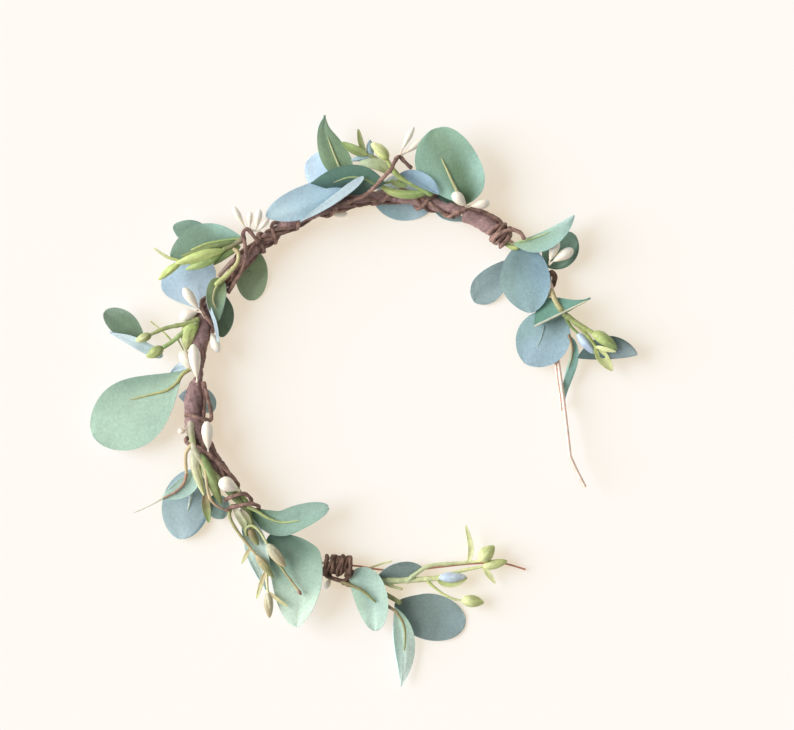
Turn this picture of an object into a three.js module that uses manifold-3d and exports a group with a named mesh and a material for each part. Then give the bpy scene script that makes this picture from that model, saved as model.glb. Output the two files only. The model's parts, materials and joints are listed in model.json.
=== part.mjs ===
// Artificial eucalyptus hair crown: an open ring of copper wire, bound with brown floral tape and
// with brown paper-covered vine wire, that holds six moulded sprigs, their fabric leaves and cream
// pip berries. Millimetres; the crown lies flat with +Z up. Layout points are measured from the
// ring's centre. Each piece gives way to the pieces placed before it, so nothing overlaps.
import * as THREE from "three";
import Module from "manifold-3d";

const wasm = await Module();
wasm.setup();

// ---------------------------------------------------------------- driving dimensions
const RING_CENTRE = [5.28, 5.52, -6.7]; // in the part's frame: the origin is under its middle
const GAP = 0.35; // left between neighbouring pieces
const WIRE_R = 0.9; // doubled copper wire of the frame
const THIN_WIRE_R = 0.45; // single copper wire of the lower end
const VINE_R = 0.95; // brown paper-covered vine wire
const LEAF_THICKNESS = 0.6;
const HINGE_GAP = 0.9; // a wire stops this far short of a bending point
const MIN_HALF_WIDTH = 0.45; // of a leaf, at its base and tip
const CREASE = 0.25; // share of a leaf's half width that a fold takes to turn
const UNDER = 7; // height of the flat lowest leaves, which the crown lies on
const SHARP_FOLD = 45; // degrees, from where a leaf needs more columns
const THREAD_R = 0.45; // of a pip
const LEAFLET_FLATNESS = 0.34; // thickness over width

const COLOURS = {
  copper: 0xc98a6b,
  tape: 0x6b5350,
  vine: 0x5a4038,
  stem: 0x93a05a,
  pip: 0xf3e9d8,
  green: 0x6f9a80,
  mint: 0xa9cfb5,
  teal: 0x5f7f7b,
  slate: 0x6f858b,
  blue: 0xa9c8dc,
};
const FINISH = {
  copper: { roughness: 0.35, metalness: 0.9 },
  pip: { roughness: 0.4, metalness: 0 },
  stem: { roughness: 0.5, metalness: 0 },
};
const MATT = { roughness: 0.85, metalness: 0 };

// ---------------------------------------------------------------- routes of the frame wire
const ROUTES = {
  // from the right bending point over the top to the left bending point
  upper: [
    [64.5, 69.3, 14], [58, 74, 14], [50, 79, 14], [38, 84.5, 14], [26, 88, 14], [12, 90.5, 14],
    [0, 91, 14], [-12, 88.5, 14], [-24, 85, 14], [-38, 79.5, 14], [-50, 72, 14], [-59, 64, 14],
    [-68, 54, 14], [-75.5, 44, 14], [-79.5, 35, 14], [-82, 26, 14], [-83.3, 17, 14], [-82.3, 8, 14],
  ],
  // from the left bending point down to the lower bending point
  lower: [
    [-82.3, 8, 14], [-84.5, 0, 14], [-85.3, -10, 14], [-84, -20, 14], [-78.5, -29.5, 14],
    [-72.5, -37, 14], [-66.5, -45, 14], [-61, -53, 13.5], [-53, -62, 13], [-44, -70.5, 13],
    [-35, -77, 13.2], [-26.5, -81, 13.5],
  ],
  // from the right bending point to the bend of the tail, and on to the tail's tip
  right: [
    [64.5, 69.3, 14], [71.5, 64.4, 13.4], [79, 58, 12.5], [82.8, 50, 11.2], [84.2, 32, 10.2],
    [86, 15, 11], [88.5, -5, 14.5], [91.3, -31, 18],
  ],
  tail: [[91.3, -31, 18], [94, -37, 18.6], [98.3, -45.5, 19.5]],
  // from the lower bending point to the thin wire's tip
  lower_end: [
    [-26.5, -81, 13.5], [-17, -82.4, 13.5], [-8, -82.8, 13], [0, -84.3, 11.5], [14, -85.3, 10.2],
    [30, -83.6, 9.5], [46, -82, 9], [60, -81.8, 8.8], [71, -84.8, 8.5],
  ],
};

// Tape sleeves: name, body, route, its share of the route, radii along it.
const TAPES = [
  ["tape_sleeve_right", "upper_arc", "upper", 0.008, 0.135, [3.9, 3.9, 3.9, 3.9]],
  ["tape_sleeve_top", "upper_arc", "upper", 0.14, 0.8, [
    3.0, 3.2, 3.0, 2.7, 2.5, 2.5, 2.6, 2.6, 2.6, 2.8, 3.0, 2.9, 2.7, 2.5, 2.5]],
  ["tape_sleeve_left", "upper_arc", "upper", 0.806, 0.985, [2.6, 3.3, 4.2, 4.6, 3.6, 2.1]],
  ["tape_sleeve_low", "lower_arc", "lower", 0.015, 0.5, [
    2.1, 3.6, 4.4, 4.6, 4.6, 4.4, 4.1, 3.6, 3.2, 3.0, 2.9, 2.6]],
];

// Coils of vine wire: name, body, axis from and to, first angle and turns made, mean radius.
const COILS = [
  ["coil_wire_right", "right_end", [82.3, 55.5, 12], [83.4, 48.6, 11.2], 0, -2.4, 2.6],
  ["coil_wire_lower_end", "lower_end", [-22.6, -81.9, 13.5], [-10.6, -82.9, 13.2], 0, -5.6, 3.95],
];
// Vine wires wound along a route: free points before and after the winding, and the winding
// itself as stations of [share of the route, turns], where 0 is the ring's inner side, -0.5 its
// outer side and -0.75 the top.
const VINES = [
  { name: "vine_wire_upper", body: "upper_arc", route: "upper",
    before: [[70, 70.2, 20.6], [68.4, 73, 21.6], [65.6, 75.2, 19]], after: [],
    wound: [
      [0.014, -0.5], [0.052, -3.5], [0.135, -3.65], [0.19, -4.2], [0.27, -5.4], [0.4, -6.4],
      [0.5, -7.3], [0.6, -8.6], [0.66, -10.2], [0.8, -11.2], [0.9, -12.1]] },
  { name: "vine_wire_lower", body: "lower_arc", route: "lower", before: [],
    wound: [[0.035, 0.45], [0.17, 0], [0.21, -1], [0.3, -1.5], [0.41, -2], [0.485, -2.1]],
    after: coilPoints([-65.6, -44.4, 16], [-58.6, -56.4, 15.8], -0.15, -2.5, 5.4) },
];
// A free strand that runs over the top sprig.
const VINE_LOOP = [
  [17.5, 103, 22.5], [11, 109, 25], [8.3, 105.5, 27], [7.5, 102.5, 28], [4, 99, 28], [0, 94.8, 25.2],
  [-5, 91, 21.5], [-12, 88, 20.2], [-19, 85.2, 19.4],
];

// ---------------------------------------------------------------- sprigs
// Each sprig is one moulding: stems [radius at the start, at the end, ...points], buds
// [widest, ...points] that swell between their ends, and flat leaflets [widest, ...points].
const SPRIGS = [
  { name: "sprig_stem_right", body: "right_end",
    stems: [
      [1.2, 1.5, [82.9, 47.6, 15], [84.2, 43, 17.6], [86.5, 38.4, 18.8], [89.5, 34.3, 18.6]],
      [1.5, 1.1, [88.6, 35.6, 18.6], [94, 31.8, 18.8], [100, 28.2, 19], [106, 24.6, 19]],
      [1.2, 0.8, [92, 33, 18.4], [97.5, 28, 17.4], [101.6, 23, 16.4], [104.3, 19, 16]],
      [0.9, 0.6, [88.4, 35.6, 18], [91.5, 30.4, 16.6], [95.6, 26.2, 16]],
      [0.8, 0.5, [83.2, 47, 15], [81.4, 43.6, 14.4], [79.8, 40.4, 14]],
    ],
    buds: [
      [6.2, [104.2, 25.6, 19], [108.6, 23.2, 19], [113, 19.8, 18]],
      [4.6, [95, 26.8, 16], [98.6, 22.2, 15.8], [102.8, 16.8, 15.4]],
    ],
    leaflets: [
      [5.6, [103.4, 20.6, 16], [107.4, 14.4, 15], [111.6, 9, 14]],
      [2.2, [104, 19.6, 16.2], [108, 19.6, 17], [112.2, 17.2, 17]],
    ] },
  { name: "sprig_stem_top", body: "upper_arc",
    stems: [
      [1.3, 1.1, [27, 91.2, 19.4], [20, 95.2, 21], [12, 99.2, 22.6], [8.6, 102.6, 23.2],
        [4.6, 109, 24]],
      [1.0, 0.6, [9.6, 100.8, 22.4], [5.6, 104.8, 23], [0, 108.4, 23.4], [-5.6, 110.8, 24]],
      [0.7, 0.5, [14, 98, 21.6], [8, 97.4, 20.8], [2, 96.4, 20]],
    ],
    buds: [
      [5.6, [5.8, 107.2, 24], [3, 111.4, 24.4], [-1.8, 115, 25]],
      [3.6, [-1.6, 108.8, 22.8], [-2.4, 112.6, 22.6], [-2.2, 116.8, 22.6]],
      [3.6, [1.8, 107.2, 22.4], [-4, 108.2, 21.6], [-10.8, 107.2, 21]],
      [4.4, [24.6, 92.4, 19.6], [17, 91.4, 20], [8, 92.6, 20.2], [1.6, 96.2, 20]],
    ],
    leaflets: [
      [2.6, [-4.6, 110.4, 24], [-6.4, 115, 24.6], [-7.8, 121.6, 25.4]],
      [4.4, [-3.4, 109.8, 24], [-9.4, 112, 24.4], [-15.6, 115.6, 24]],
      [2.8, [6.6, 103.8, 23], [1.6, 107, 22.6], [-6.6, 107.6, 22.4]],
      [2.8, [7.4, 98.2, 21], [11, 96, 21.6], [15.2, 95.6, 21.6]],
    ] },
  { name: "sprig_stem_upper_left", body: "upper_arc",
    stems: [
      [1.3, 1.2, [-61.6, 70.2, 20.4], [-66, 68, 21], [-71.4, 65.4, 21.6]],
      [1.3, 1.1, [-61.8, 68.6, 20.2], [-64.4, 63, 20.4], [-67.8, 55.6, 20.4], [-74.6, 48.6, 20.6]],
      [0.9, 0.8, [-63.6, 65.2, 20], [-68, 59.6, 19.6], [-73, 53.2, 19.2]],
    ],
    buds: [
      [5.0, [-70.2, 66, 21.6], [-82, 63.4, 22], [-94, 58.8, 22]],
      [4.6, [-70.6, 65.2, 21.2], [-79, 61, 20.8], [-88.4, 56.6, 20.4]],
      [3.8, [-91, 60, 22], [-95.6, 56.6, 21.6], [-101.2, 51.6, 21]],
      [4.2, [-63.4, 69.6, 20.6], [-76, 68.2, 21.6], [-90.4, 64.8, 22]],
    ],
    leaflets: [
      [1.4, [-90.6, 60.2, 22], [-97, 62.2, 22], [-103.4, 66.4, 21.6]],
    ] },
  { name: "sprig_stem_left", body: "upper_arc",
    stems: [
      [1.5, 0.8, [-83, 31.6, 19.2], [-89.6, 30, 19.2], [-98, 28.4, 18.8], [-106.4, 25.2, 18.4]],
      [1.4, 1.0, [-83.6, 31, 19], [-90, 27.4, 18.6], [-95.4, 23.2, 18], [-99.6, 20.2, 17.8]],
      [0.4, 0.3, [-95.4, 23.2, 18], [-99, 27, 18.6], [-105.2, 32.4, 19.4]],
      [0.4, 0.3, [-93, 25.4, 18.2], [-91.4, 21.8, 17.6], [-89.6, 18.4, 17]],
    ],
    buds: [
      [4.6, [-104.6, 26, 18.5], [-109, 24.2, 18.3], [-112.8, 22.8, 18]],
      [5.0, [-97.8, 21.6, 18], [-103, 18.4, 17.6], [-107.4, 15.8, 17.2]],
      [4.8, [-87, 30, 19], [-89.2, 25.6, 17.6], [-90.2, 19.4, 15.6]],
    ],
    leaflets: [] },
  { name: "sprig_stem_low", body: "lower_arc",
    stems: [
      [1.4, 1.8, [-85.6, -24.6, 20.8], [-82.6, -31.4, 20], [-77, -38, 18.6], [-71.6, -43.6, 18]],
      [1.8, 1.4, [-73, -42.2, 18], [-66.6, -49.4, 17.6], [-60.6, -56, 17.8], [-57, -65.4, 19.6]],
      [0.8, 0.6, [-82.8, -30.6, 20.4], [-79.2, -38, 21], [-78.4, -46, 21.2], [-75.6, -51.6, 20.6],
        [-71.4, -55.8, 20]],
      [0.8, 0.4, [-85.4, -25, 20.8], [-88.4, -30, 19.6], [-88.2, -40, 19], [-91, -45, 18.6],
        [-99.4, -50.4, 17.6]],
      [0.9, 0.6, [-58.6, -60.2, 18.8], [-64, -59, 19.4], [-66.4, -61.8, 19.6], [-63.6, -67.6, 20],
        [-57.8, -74.8, 20]],
      [0.6, 0.6, [-50.6, -84.4, 20], [-50.4, -90, 20], [-50, -95.4, 19.6]],
      [0.9, 0.6, [-58.8, -61, 19], [-54.6, -65.4, 21], [-50.4, -71.8, 22]],
      [0.6, 0.6, [-46.6, -79, 22], [-41, -86.6, 21.4], [-35.4, -94.2, 20.8]],
    ],
    buds: [
      [4.4, [-84.6, -27.6, 20], [-83.4, -38, 18.6], [-80, -49.6, 17.4]],
      [5.0, [-82, -30.4, 19.6], [-77.4, -41.6, 19.6], [-72.2, -53.8, 19.2]],
      [4.4, [-58.4, -74.2, 20], [-53.4, -80.6, 20], [-47.6, -87.4, 20]],
      [4.6, [-50, -94.6, 19.6], [-49.8, -100.6, 19], [-49.4, -106.6, 18.4]],
      [6.2, [-50.6, -71.4, 22], [-46.4, -77, 22], [-41.8, -82.6, 21.8]],
      [3.8, [-58, -64.4, 20.4], [-56, -69, 21], [-53.6, -73, 21]],
      [1.8, [-36, -93.4, 20.9], [-35.2, -94.6, 20.8], [-34.6, -95.8, 20.6]],
    ],
    leaflets: [
      [4.0, [-79.6, -48.8, 17.6], [-79, -55.6, 16.4], [-78, -62.2, 15.4]],
      [1.8, [-58.4, -74, 20], [-60.4, -77.4, 19.6], [-62.4, -81.2, 19.2]],
      [2.6, [-51.4, -85, 20], [-53.4, -91, 19.8], [-55.4, -97.6, 19.6]],
      [2.4, [-50, -94.4, 19.6], [-45.6, -97.8, 20.4], [-40.8, -101.2, 20.6]],
    ] },
  { name: "sprig_stem_lower_end", body: "lower_end",
    stems: [
      [1.1, 0.8, [-23.4, -88.4, 13.4], [-14, -91, 16], [-6, -94.2, 17.4], [0.4, -99.6, 17.4]],
      [1.2, 1.1, [-14, -91, 15.4], [-6, -92.6, 12], [4.6, -96.2, 11.4], [12.4, -100.6, 11.6]],
      [1.1, 0.6, [-8, -92.4, 12.2], [0, -98.4, 11.6], [5, -101.8, 13.4], [10.4, -105, 15],
        [13.4, -110, 15.6], [14, -122, 14.6]],
      [1.1, 1.7, [-16, -90.6, 14.8], [-8, -90.4, 11.6], [6, -90.2, 10.8]],
      [1.7, 1.1, [4, -90.2, 10.8], [18, -89.4, 12], [31, -88.6, 12.8]],
      [0.8, 0.6, [5, -91.2, 11], [9, -92.8, 11.4], [13, -93.8, 11.6]],
      [1.1, 0.6, [15.4, -89.8, 12.4], [19.6, -86.2, 13.4], [25, -82.8, 13.8], [36, -81.6, 13.6],
        [50.4, -80.4, 13.6]],
      [0.9, 0.6, [26, -89, 12.6], [36, -86.4, 12.6], [45, -84.2, 12.6], [53, -82.8, 12.8]],
      [0.7, 0.5, [24.6, -90, 12.6], [30, -94.6, 12.4], [36, -98, 12.2], [42, -99.4, 12]],
      [0.6, 0.4, [-5, -89.6, 11], [-3.6, -85, 10], [1.6, -82.4, 10], [8, -80.6, 10.6]],
    ],
    buds: [
      [5.6, [30, -88.7, 12.8], [37, -89, 13], [42.8, -88.2, 13]],
      [6.2, [48.4, -80.8, 13.6], [52.4, -77, 14], [56.6, -72.6, 14]],
      [4.8, [50.8, -83.2, 12.8], [56.6, -81.8, 13.2], [62.2, -80.4, 13.4]],
      [6.0, [40.6, -99, 12], [46, -99.4, 12], [51.2, -100.2, 12]],
    ],
    leaflets: [
      [2.6, [43.8, -81.4, 13.6], [45, -74.6, 14.6], [42.6, -63.4, 15.6]],
      [2.6, [50.8, -82.8, 12.8], [53.4, -86.8, 12.4], [56.6, -91, 12]],
    ] },
];

// ---------------------------------------------------------------- pip berries
// Name, body, where the threads are tied, then for each pip: base, tip and width.
const PIPS = [
  ["pips_right", "right_end", [81.6, 58.6, 15], [
    [[82, 60.4, 15.4], [85.6, 71, 17.6], 4.6], [[83.4, 60.2, 15.6], [93, 66.2, 16.4], 5.2]]],
  ["pips_top_right", "upper_arc", [43.4, 85.6, 19.4], [
    [[42.6, 86, 20.4], [36.4, 92.2, 22.6], 5.4], [[44.6, 86, 19.6], [53.8, 87.8, 18.6], 4.4]]],
  ["pips_top", "upper_arc", [11.6, 109.6, 22.2], [
    [[12.4, 111.8, 22.6], [18.2, 123, 21.6], 3.0], [[13.8, 110.6, 21.2], [22.8, 117.6, 20.4], 3.6]]],
  ["pips_upper_left", "upper_arc", [-57.6, 74.6, 20.4], [
    [[-61, 76.4, 20.8], [-66.4, 86, 22], 3.2], [[-58.6, 76.4, 20.8], [-58.2, 83.4, 21.6], 3.0],
    [[-55.6, 75.4, 20.8], [-53.8, 84.6, 21.6], 3.6], [[-54.6, 74.6, 20.6], [-49.6, 80.4, 20.8], 2.8]]],
  ["pips_left_high", "upper_arc", [-81, 36.2, 18.6], [
    [[-82.6, 38, 19], [-89.6, 47.8, 21], 4.8], [[-83, 36.6, 18.4], [-91.6, 34, 18], 5.2],
    [[-76.4, 26.6, 19.6], [-73.4, 17.6, 18.4], 4.6]]],
  ["pips_left", "lower_arc", [-83.4, 3.6, 20.2], [
    [[-83.2, 5.4, 20.8], [-85, 21.6, 22], 5.6]]],
  ["pips_low_upper", "lower_arc", [-78.2, -29.4, 19.6], [
    [[-78, -28, 20], [-78.6, -14.4, 21.4], 5.6]]],
  ["pips_low", "lower_arc", [-63.2, -47, 22.2], [
    [[-63.8, -46.6, 22.6], [-72.8, -42.2, 22.8], 7.0]]],
];

// ---------------------------------------------------------------- leaves
// Outlines: where a blade is widest, and how its base and its tip round off.
const OUTLINES = {
  round: [0.52, 0.62, 0.5],
  oval: [0.52, 0.8, 0.6],
  obovate: [0.62, 1.15, 0.5],
  spatulate: [0.8, 1.9, 0.35],
  lance: [0.42, 0.85, 0.95],
  hooded: [0.34, 0.9, 1.5],
};
// Each leaf: its base, the midrib's heading and pitch there, roll about it (180 shows the back),
// length, width, and how far the midrib sweeps sideways and curls up by the tip. fold gives the
// left and the right half's slope at the edge, and from lists where in each half it starts.
const LEAVES = [
  { name: "leaf_right_crescent", outline: "oval", colour: "mint", body: "right_end",
    base: [67.4, 69.6, 17.4], heading: 10, pitch: 8, length: 29, width: 15, sweep: 30,
    fold: [-110, 6] },
  { name: "leaf_right_shaded", outline: "round", colour: "green", body: "right_end",
    base: [80.8, 58, 11], heading: 50, pitch: 4, length: 20, width: 16.4, fold: [10, 10] },
  { name: "leaf_right_broad", outline: "oval", colour: "slate", body: "right_end",
    base: [68.8, 68.2, 18.6], heading: -82, pitch: 2, length: 32.5, width: 23.5, fold: [-8, -8] },
  { name: "leaf_right_teal", outline: "obovate", colour: "teal", body: "right_end",
    base: [66, 62.6, UNDER], heading: 226, length: 29.5, width: 15.5, fold: [0, 0] },
  { name: "leaf_right_cupped", outline: "hooded", colour: "green", body: "right_end",
    base: [74.4, 30, 19], heading: 26, pitch: 2, roll: -30, length: 29.5, width: 20,
    fold: [0, -100] },
  { name: "leaf_right_blue", outline: "round", colour: "blue", body: "right_end",
    base: [87.4, 36.2, 14.6], heading: -125, pitch: -2, roll: 180, length: 29, width: 25,
    fold: [6, 6] },
  { name: "leaf_right_narrow", outline: "lance", colour: "green", body: "right_end",
    base: [91, 26.4, 15.4], heading: -68, pitch: -11, length: 35.5, width: 7.6, sweep: -52,
    fold: [-14, -100] },
  { name: "leaf_right_slate", outline: "oval", colour: "slate", body: "right_end",
    base: [95, 15.2, 15.6], heading: 3, length: 28, width: 19, fold: [4, -105] },
  { name: "leaf_top_round", outline: "round", colour: "green", body: "upper_arc",
    base: [43, 87, 18], heading: 115, pitch: 8, length: 38, width: 33, fold: [14, 14] },
  { name: "leaf_top_under", outline: "round", colour: "blue", body: "upper_arc",
    base: [-0.6, 89, UNDER], heading: 9, roll: 180, length: 31.5, width: 23, fold: [0, 0] },
  { name: "leaf_top_pointed", outline: "lance", colour: "green", body: "upper_arc",
    base: [-14, 99.4, 17.6], heading: 122, pitch: 10, length: 31.5, width: 15, sweep: -26,
    fold: [22, 22] },
  { name: "leaf_top_pale", outline: "round", colour: "blue", body: "upper_arc",
    base: [-13, 98.6, 14.4], heading: 158, roll: 180, length: 21, width: 20, fold: [6, 6] },
  { name: "leaf_top_arched", outline: "lance", colour: "green", body: "upper_arc",
    base: [4.8, 97.4, 24.4], heading: 169, pitch: 2, length: 35, width: 20, sweep: 22, curl: -8,
    fold: [-68, -4] },
  { name: "leaf_top_long", outline: "oval", colour: "blue", body: "upper_arc",
    base: [-3.6, 97.6, 21], heading: 201, pitch: 2, roll: 180, length: 50, width: 21,
    fold: [6, -140], from: [0, 0.5] },
  { name: "leaf_upper_green", outline: "oval", colour: "green", body: "upper_arc",
    base: [-61.6, 70.6, 18.4], heading: 190, pitch: 1, length: 34, width: 25, fold: [8, 8] },
  { name: "leaf_upper_back", outline: "oval", colour: "green", body: "upper_arc",
    base: [-75, 69.8, 14.6], heading: 160, length: 20.5, width: 12, fold: [8, 8] },
  { name: "leaf_upper_blue", outline: "obovate", colour: "blue", body: "upper_arc",
    base: [-82, 37.4, 10], heading: 112, roll: 180, length: 26, width: 27, fold: [6, 6] },
  { name: "leaf_inner_green", outline: "round", colour: "green", body: "upper_arc",
    base: [-58.4, 67, 8.4], heading: -90, pitch: -2, length: 25, width: 15.5, fold: [6, 6] },
  { name: "leaf_hanging_green", outline: "lance", colour: "green", body: "upper_arc",
    base: [-73.6, 52.4, 18.6], heading: -97, pitch: -1, length: 28, width: 13, sweep: 8,
    fold: [12, 115], from: [0, 0.7] },
  { name: "leaf_hanging_back", outline: "oval", colour: "green", body: "upper_arc",
    base: [-73, 46.4, 8.4], heading: -88, length: 21.5, width: 12, fold: [6, 6] },
  { name: "leaf_left_folded", outlines: ["oval", "spatulate"], colour: "green", body: "upper_arc",
    base: [-100, 14.6, 13.4], heading: 164, pitch: 2, length: 33, width: 27, sweep: -36,
    fold: [110, 4] },
  { name: "leaf_left_large", outline: "obovate", colour: "mint", body: "lower_arc",
    base: [-91, 9.6, 15], heading: 222, pitch: -3, length: 52, width: 31, sweep: -12,
    fold: [8, 8] },
  { name: "leaf_left_under", outline: "oval", colour: "slate", body: "lower_arc",
    base: [-93.4, -1.4, UNDER], heading: -24, length: 20, width: 12, fold: [0, 0] },
  { name: "leaf_low_blue", outline: "round", colour: "blue", body: "lower_arc",
    base: [-85.8, -37.4, 12], heading: -101, pitch: -4, roll: 180, length: 33.5, width: 22,
    fold: [8, 8] },
  { name: "leaf_low_edge", outline: "oval", colour: "mint", body: "lower_arc",
    base: [-83.8, -40, 15], heading: 214, pitch: 2, length: 21, width: 10.5, fold: [14, 14] },
  { name: "leaf_low_inner", outline: "obovate", colour: "green", body: "lower_arc",
    base: [-57, -55, 14], heading: -38, pitch: 2, length: 39.5, width: 14.5, sweep: 76,
    fold: [14, 10] },
  { name: "leaf_low_large", outline: "round", colour: "mint", body: "lower_arc",
    base: [-42.4, -67, 17.4], heading: -71, pitch: 1, roll: 4, length: 44, width: 26, sweep: -16,
    fold: [4, -14] },
  { name: "leaf_low_pale", outline: "lance", colour: "mint", body: "lower_arc",
    base: [-59.6, -59, 15.6], heading: -62, pitch: 4, length: 26, width: 10, sweep: -6,
    fold: [16, 16] },
  { name: "leaf_bottom_pale", outline: "round", colour: "mint", body: "lower_end",
    base: [-8, -84.4, 14.2], heading: -74, pitch: 2, length: 29.5, width: 17, sweep: -6,
    fold: [-8, 10] },
  { name: "leaf_bottom_slate", outline: "oval", colour: "slate", body: "lower_end",
    base: [1.4, -87.4, 7.4], heading: 12, length: 22, width: 10.5, fold: [6, 6] },
  { name: "leaf_bottom_dark", outline: "round", colour: "slate", body: "lower_end",
    base: [9.2, -102.4, UNDER], heading: -12, length: 34, width: 22.5, fold: [0, 0] },
  { name: "leaf_bottom_narrow", outline: "lance", colour: "mint", body: "lower_end",
    base: [9.4, -102.8, 12], heading: -66, pitch: -1, length: 37.5, width: 9.4, sweep: -40,
    fold: [-20, 20] },
];

// Points of a wire coiled about a straight axis, from a first angle, in turns.
function coilPoints(from, to, first, turns, radius) {
  const pointsPerTurn = 8;
  const axis = new THREE.Vector3(to[0] - from[0], to[1] - from[1], to[2] - from[2]);
  const side = new THREE.Vector3(-axis.y, axis.x, 0).normalize();
  const up = axis.clone().normalize().cross(side);
  const steps = Math.round(Math.abs(turns) * pointsPerTurn);
  return Array.from({ length: steps + 1 }, (_, i) => {
    const angle = 2 * Math.PI * (first + (turns * i) / steps);
    const point = new THREE.Vector3(...from).addScaledVector(axis, i / steps);
    point.addScaledVector(side, radius * Math.cos(angle));
    return point.addScaledVector(up, radius * Math.sin(angle)).toArray();
  });
}

// ---------------------------------------------------------------- closed meshes
const rad = THREE.MathUtils.degToRad;
const lerp = THREE.MathUtils.lerp;
const vec = (point) => new THREE.Vector3(...point);
const curveThrough = (points) => new THREE.CatmullRomCurve3(points.map(vec), false, "centripetal");

// A solid from points and the corners of its triangles.
function solidFrom(points, faces) {
  const vertProperties = new Float32Array(points.flatMap((p) => [p.x, p.y, p.z]));
  const triVerts = new Uint32Array(faces.flat());
  return new wasm.Manifold(new wasm.Mesh({ numProp: 3, vertProperties, triVerts }));
}

// The value at share t of a list of evenly spaced values.
function along(values, t) {
  const x = t * (values.length - 1);
  const i = Math.min(Math.floor(x), values.length - 2);
  return lerp(values[i], values[i + 1], x - i);
}

// A closed tube along a curve. radius(t) is its radius, and flat squashes it upwards. The section
// stays level, or with level off it is carried along the curve without turning.
function sweep(curve, radius, steps, { sides = 6, flat = 1, level = true } = {}) {
  const points = [];
  const faces = [];
  let side = null;
  for (let i = 0; i <= steps; i++) {
    const t = i / steps;
    const forward = curve.getTangentAt(t);
    if (level || !side) side = new THREE.Vector3(-forward.y, forward.x, 0);
    side.addScaledVector(forward, -side.dot(forward)).normalize();
    const up = forward.clone().cross(side);
    for (let k = 0; k < sides; k++) {
      const angle = (2 * Math.PI * (k + 0.5)) / sides;
      const point = curve.getPointAt(t);
      point.addScaledVector(side, radius(t) * Math.cos(angle));
      points.push(point.addScaledVector(up, radius(t) * flat * Math.sin(angle)));
    }
  }
  const start = points.push(curve.getPointAt(0)) - 1;
  const end = points.push(curve.getPointAt(1)) - 1;
  for (let k = 0; k < sides; k++) {
    const next = (k + 1) % sides;
    for (let i = 0; i < steps; i++) {
      const [a, b] = [i * sides + k, i * sides + next];
      faces.push([a, b, b + sides], [a, b + sides, a + sides]);
    }
    faces.push([start, next, k], [end, steps * sides + k, steps * sides + next]);
  }
  return solidFrom(points, faces);
}

// The part of a curve between two shares of its length.
class Stretch extends THREE.Curve {
  constructor(curve, from, to) {
    super();
    Object.assign(this, { curve, from, to });
  }
  getPoint(t, target = new THREE.Vector3()) {
    return target.copy(this.curve.getPointAt(lerp(this.from, this.to, t)));
  }
}

// ---------------------------------------------------------------- leaves as thin shells
// The share of its half width that a blade has at share s of its length.
function outlineAt([widest, base, tip], s) {
  if (s < widest) return Math.sin((Math.PI / 2) * (s / widest) ** base);
  return Math.max(0, Math.cos((Math.PI / 2) * ((s - widest) / (1 - widest)))) ** tip;
}

// Where a half blade's point at distance t from the midrib goes: outwards and upwards.
function foldedAt(t, halfWidth, slope, from) {
  const straight = from * halfWidth;
  const bend = CREASE * halfWidth;
  const turn = rad(slope) || 1e-6;
  if (t <= straight) return [t, 0];
  const inBend = Math.min(t - straight, bend);
  const angle = (turn * inBend) / bend;
  const rest = t - straight - inBend;
  const out = straight + (bend / turn) * Math.sin(angle) + rest * Math.cos(turn);
  return [out, (bend / turn) * (1 - Math.cos(angle)) + rest * Math.sin(turn)];
}

// The midrib's forward, left and up directions at share s of a leaf's length.
function leafFrame({ heading, pitch = 0, roll = 0, sweep: turn = 0, curl = 0 }, s) {
  const yaw = rad(heading + turn * s);
  const climb = rad(pitch + curl * s);
  const flatForward = new THREE.Vector3(Math.cos(yaw), Math.sin(yaw), 0);
  const forward = flatForward.multiplyScalar(Math.cos(climb));
  forward.z = Math.sin(climb);
  const left = new THREE.Vector3(-Math.sin(yaw), Math.cos(yaw), 0).applyAxisAngle(forward, rad(roll));
  return { forward, left, up: forward.clone().cross(left) };
}

// The midrib's point at share s, stepped along the leaf.
function midribAt(leaf, s) {
  const point = vec(leaf.base);
  const steps = 24;
  for (let i = 0; i < steps; i++) {
    const { forward } = leafFrame(leaf, (s * (i + 0.5)) / steps);
    point.addScaledVector(forward, (leaf.length * s) / steps);
  }
  return point;
}

// A leaf's point at share s of its length and v of its half width, 1 at the left edge.
function bladeAt(leaf, s, v, grow) {
  const half = v > 0 ? 0 : 1;
  const outline = OUTLINES[leaf.outlines?.[half] ?? leaf.outline];
  const halfWidth = Math.max(MIN_HALF_WIDTH, (leaf.width / 2) * outlineAt(outline, s)) + grow;
  const [starts, slopes] = [leaf.from ?? [0, 0], leaf.fold];
  const [out, rise] = foldedAt(Math.abs(v) * halfWidth, halfWidth, slopes[half], starts[half]);
  const { left, up } = leafFrame(leaf, s);
  return midribAt(leaf, s).addScaledVector(left, Math.sign(v) * out).addScaledVector(up, rise);
}

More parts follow.
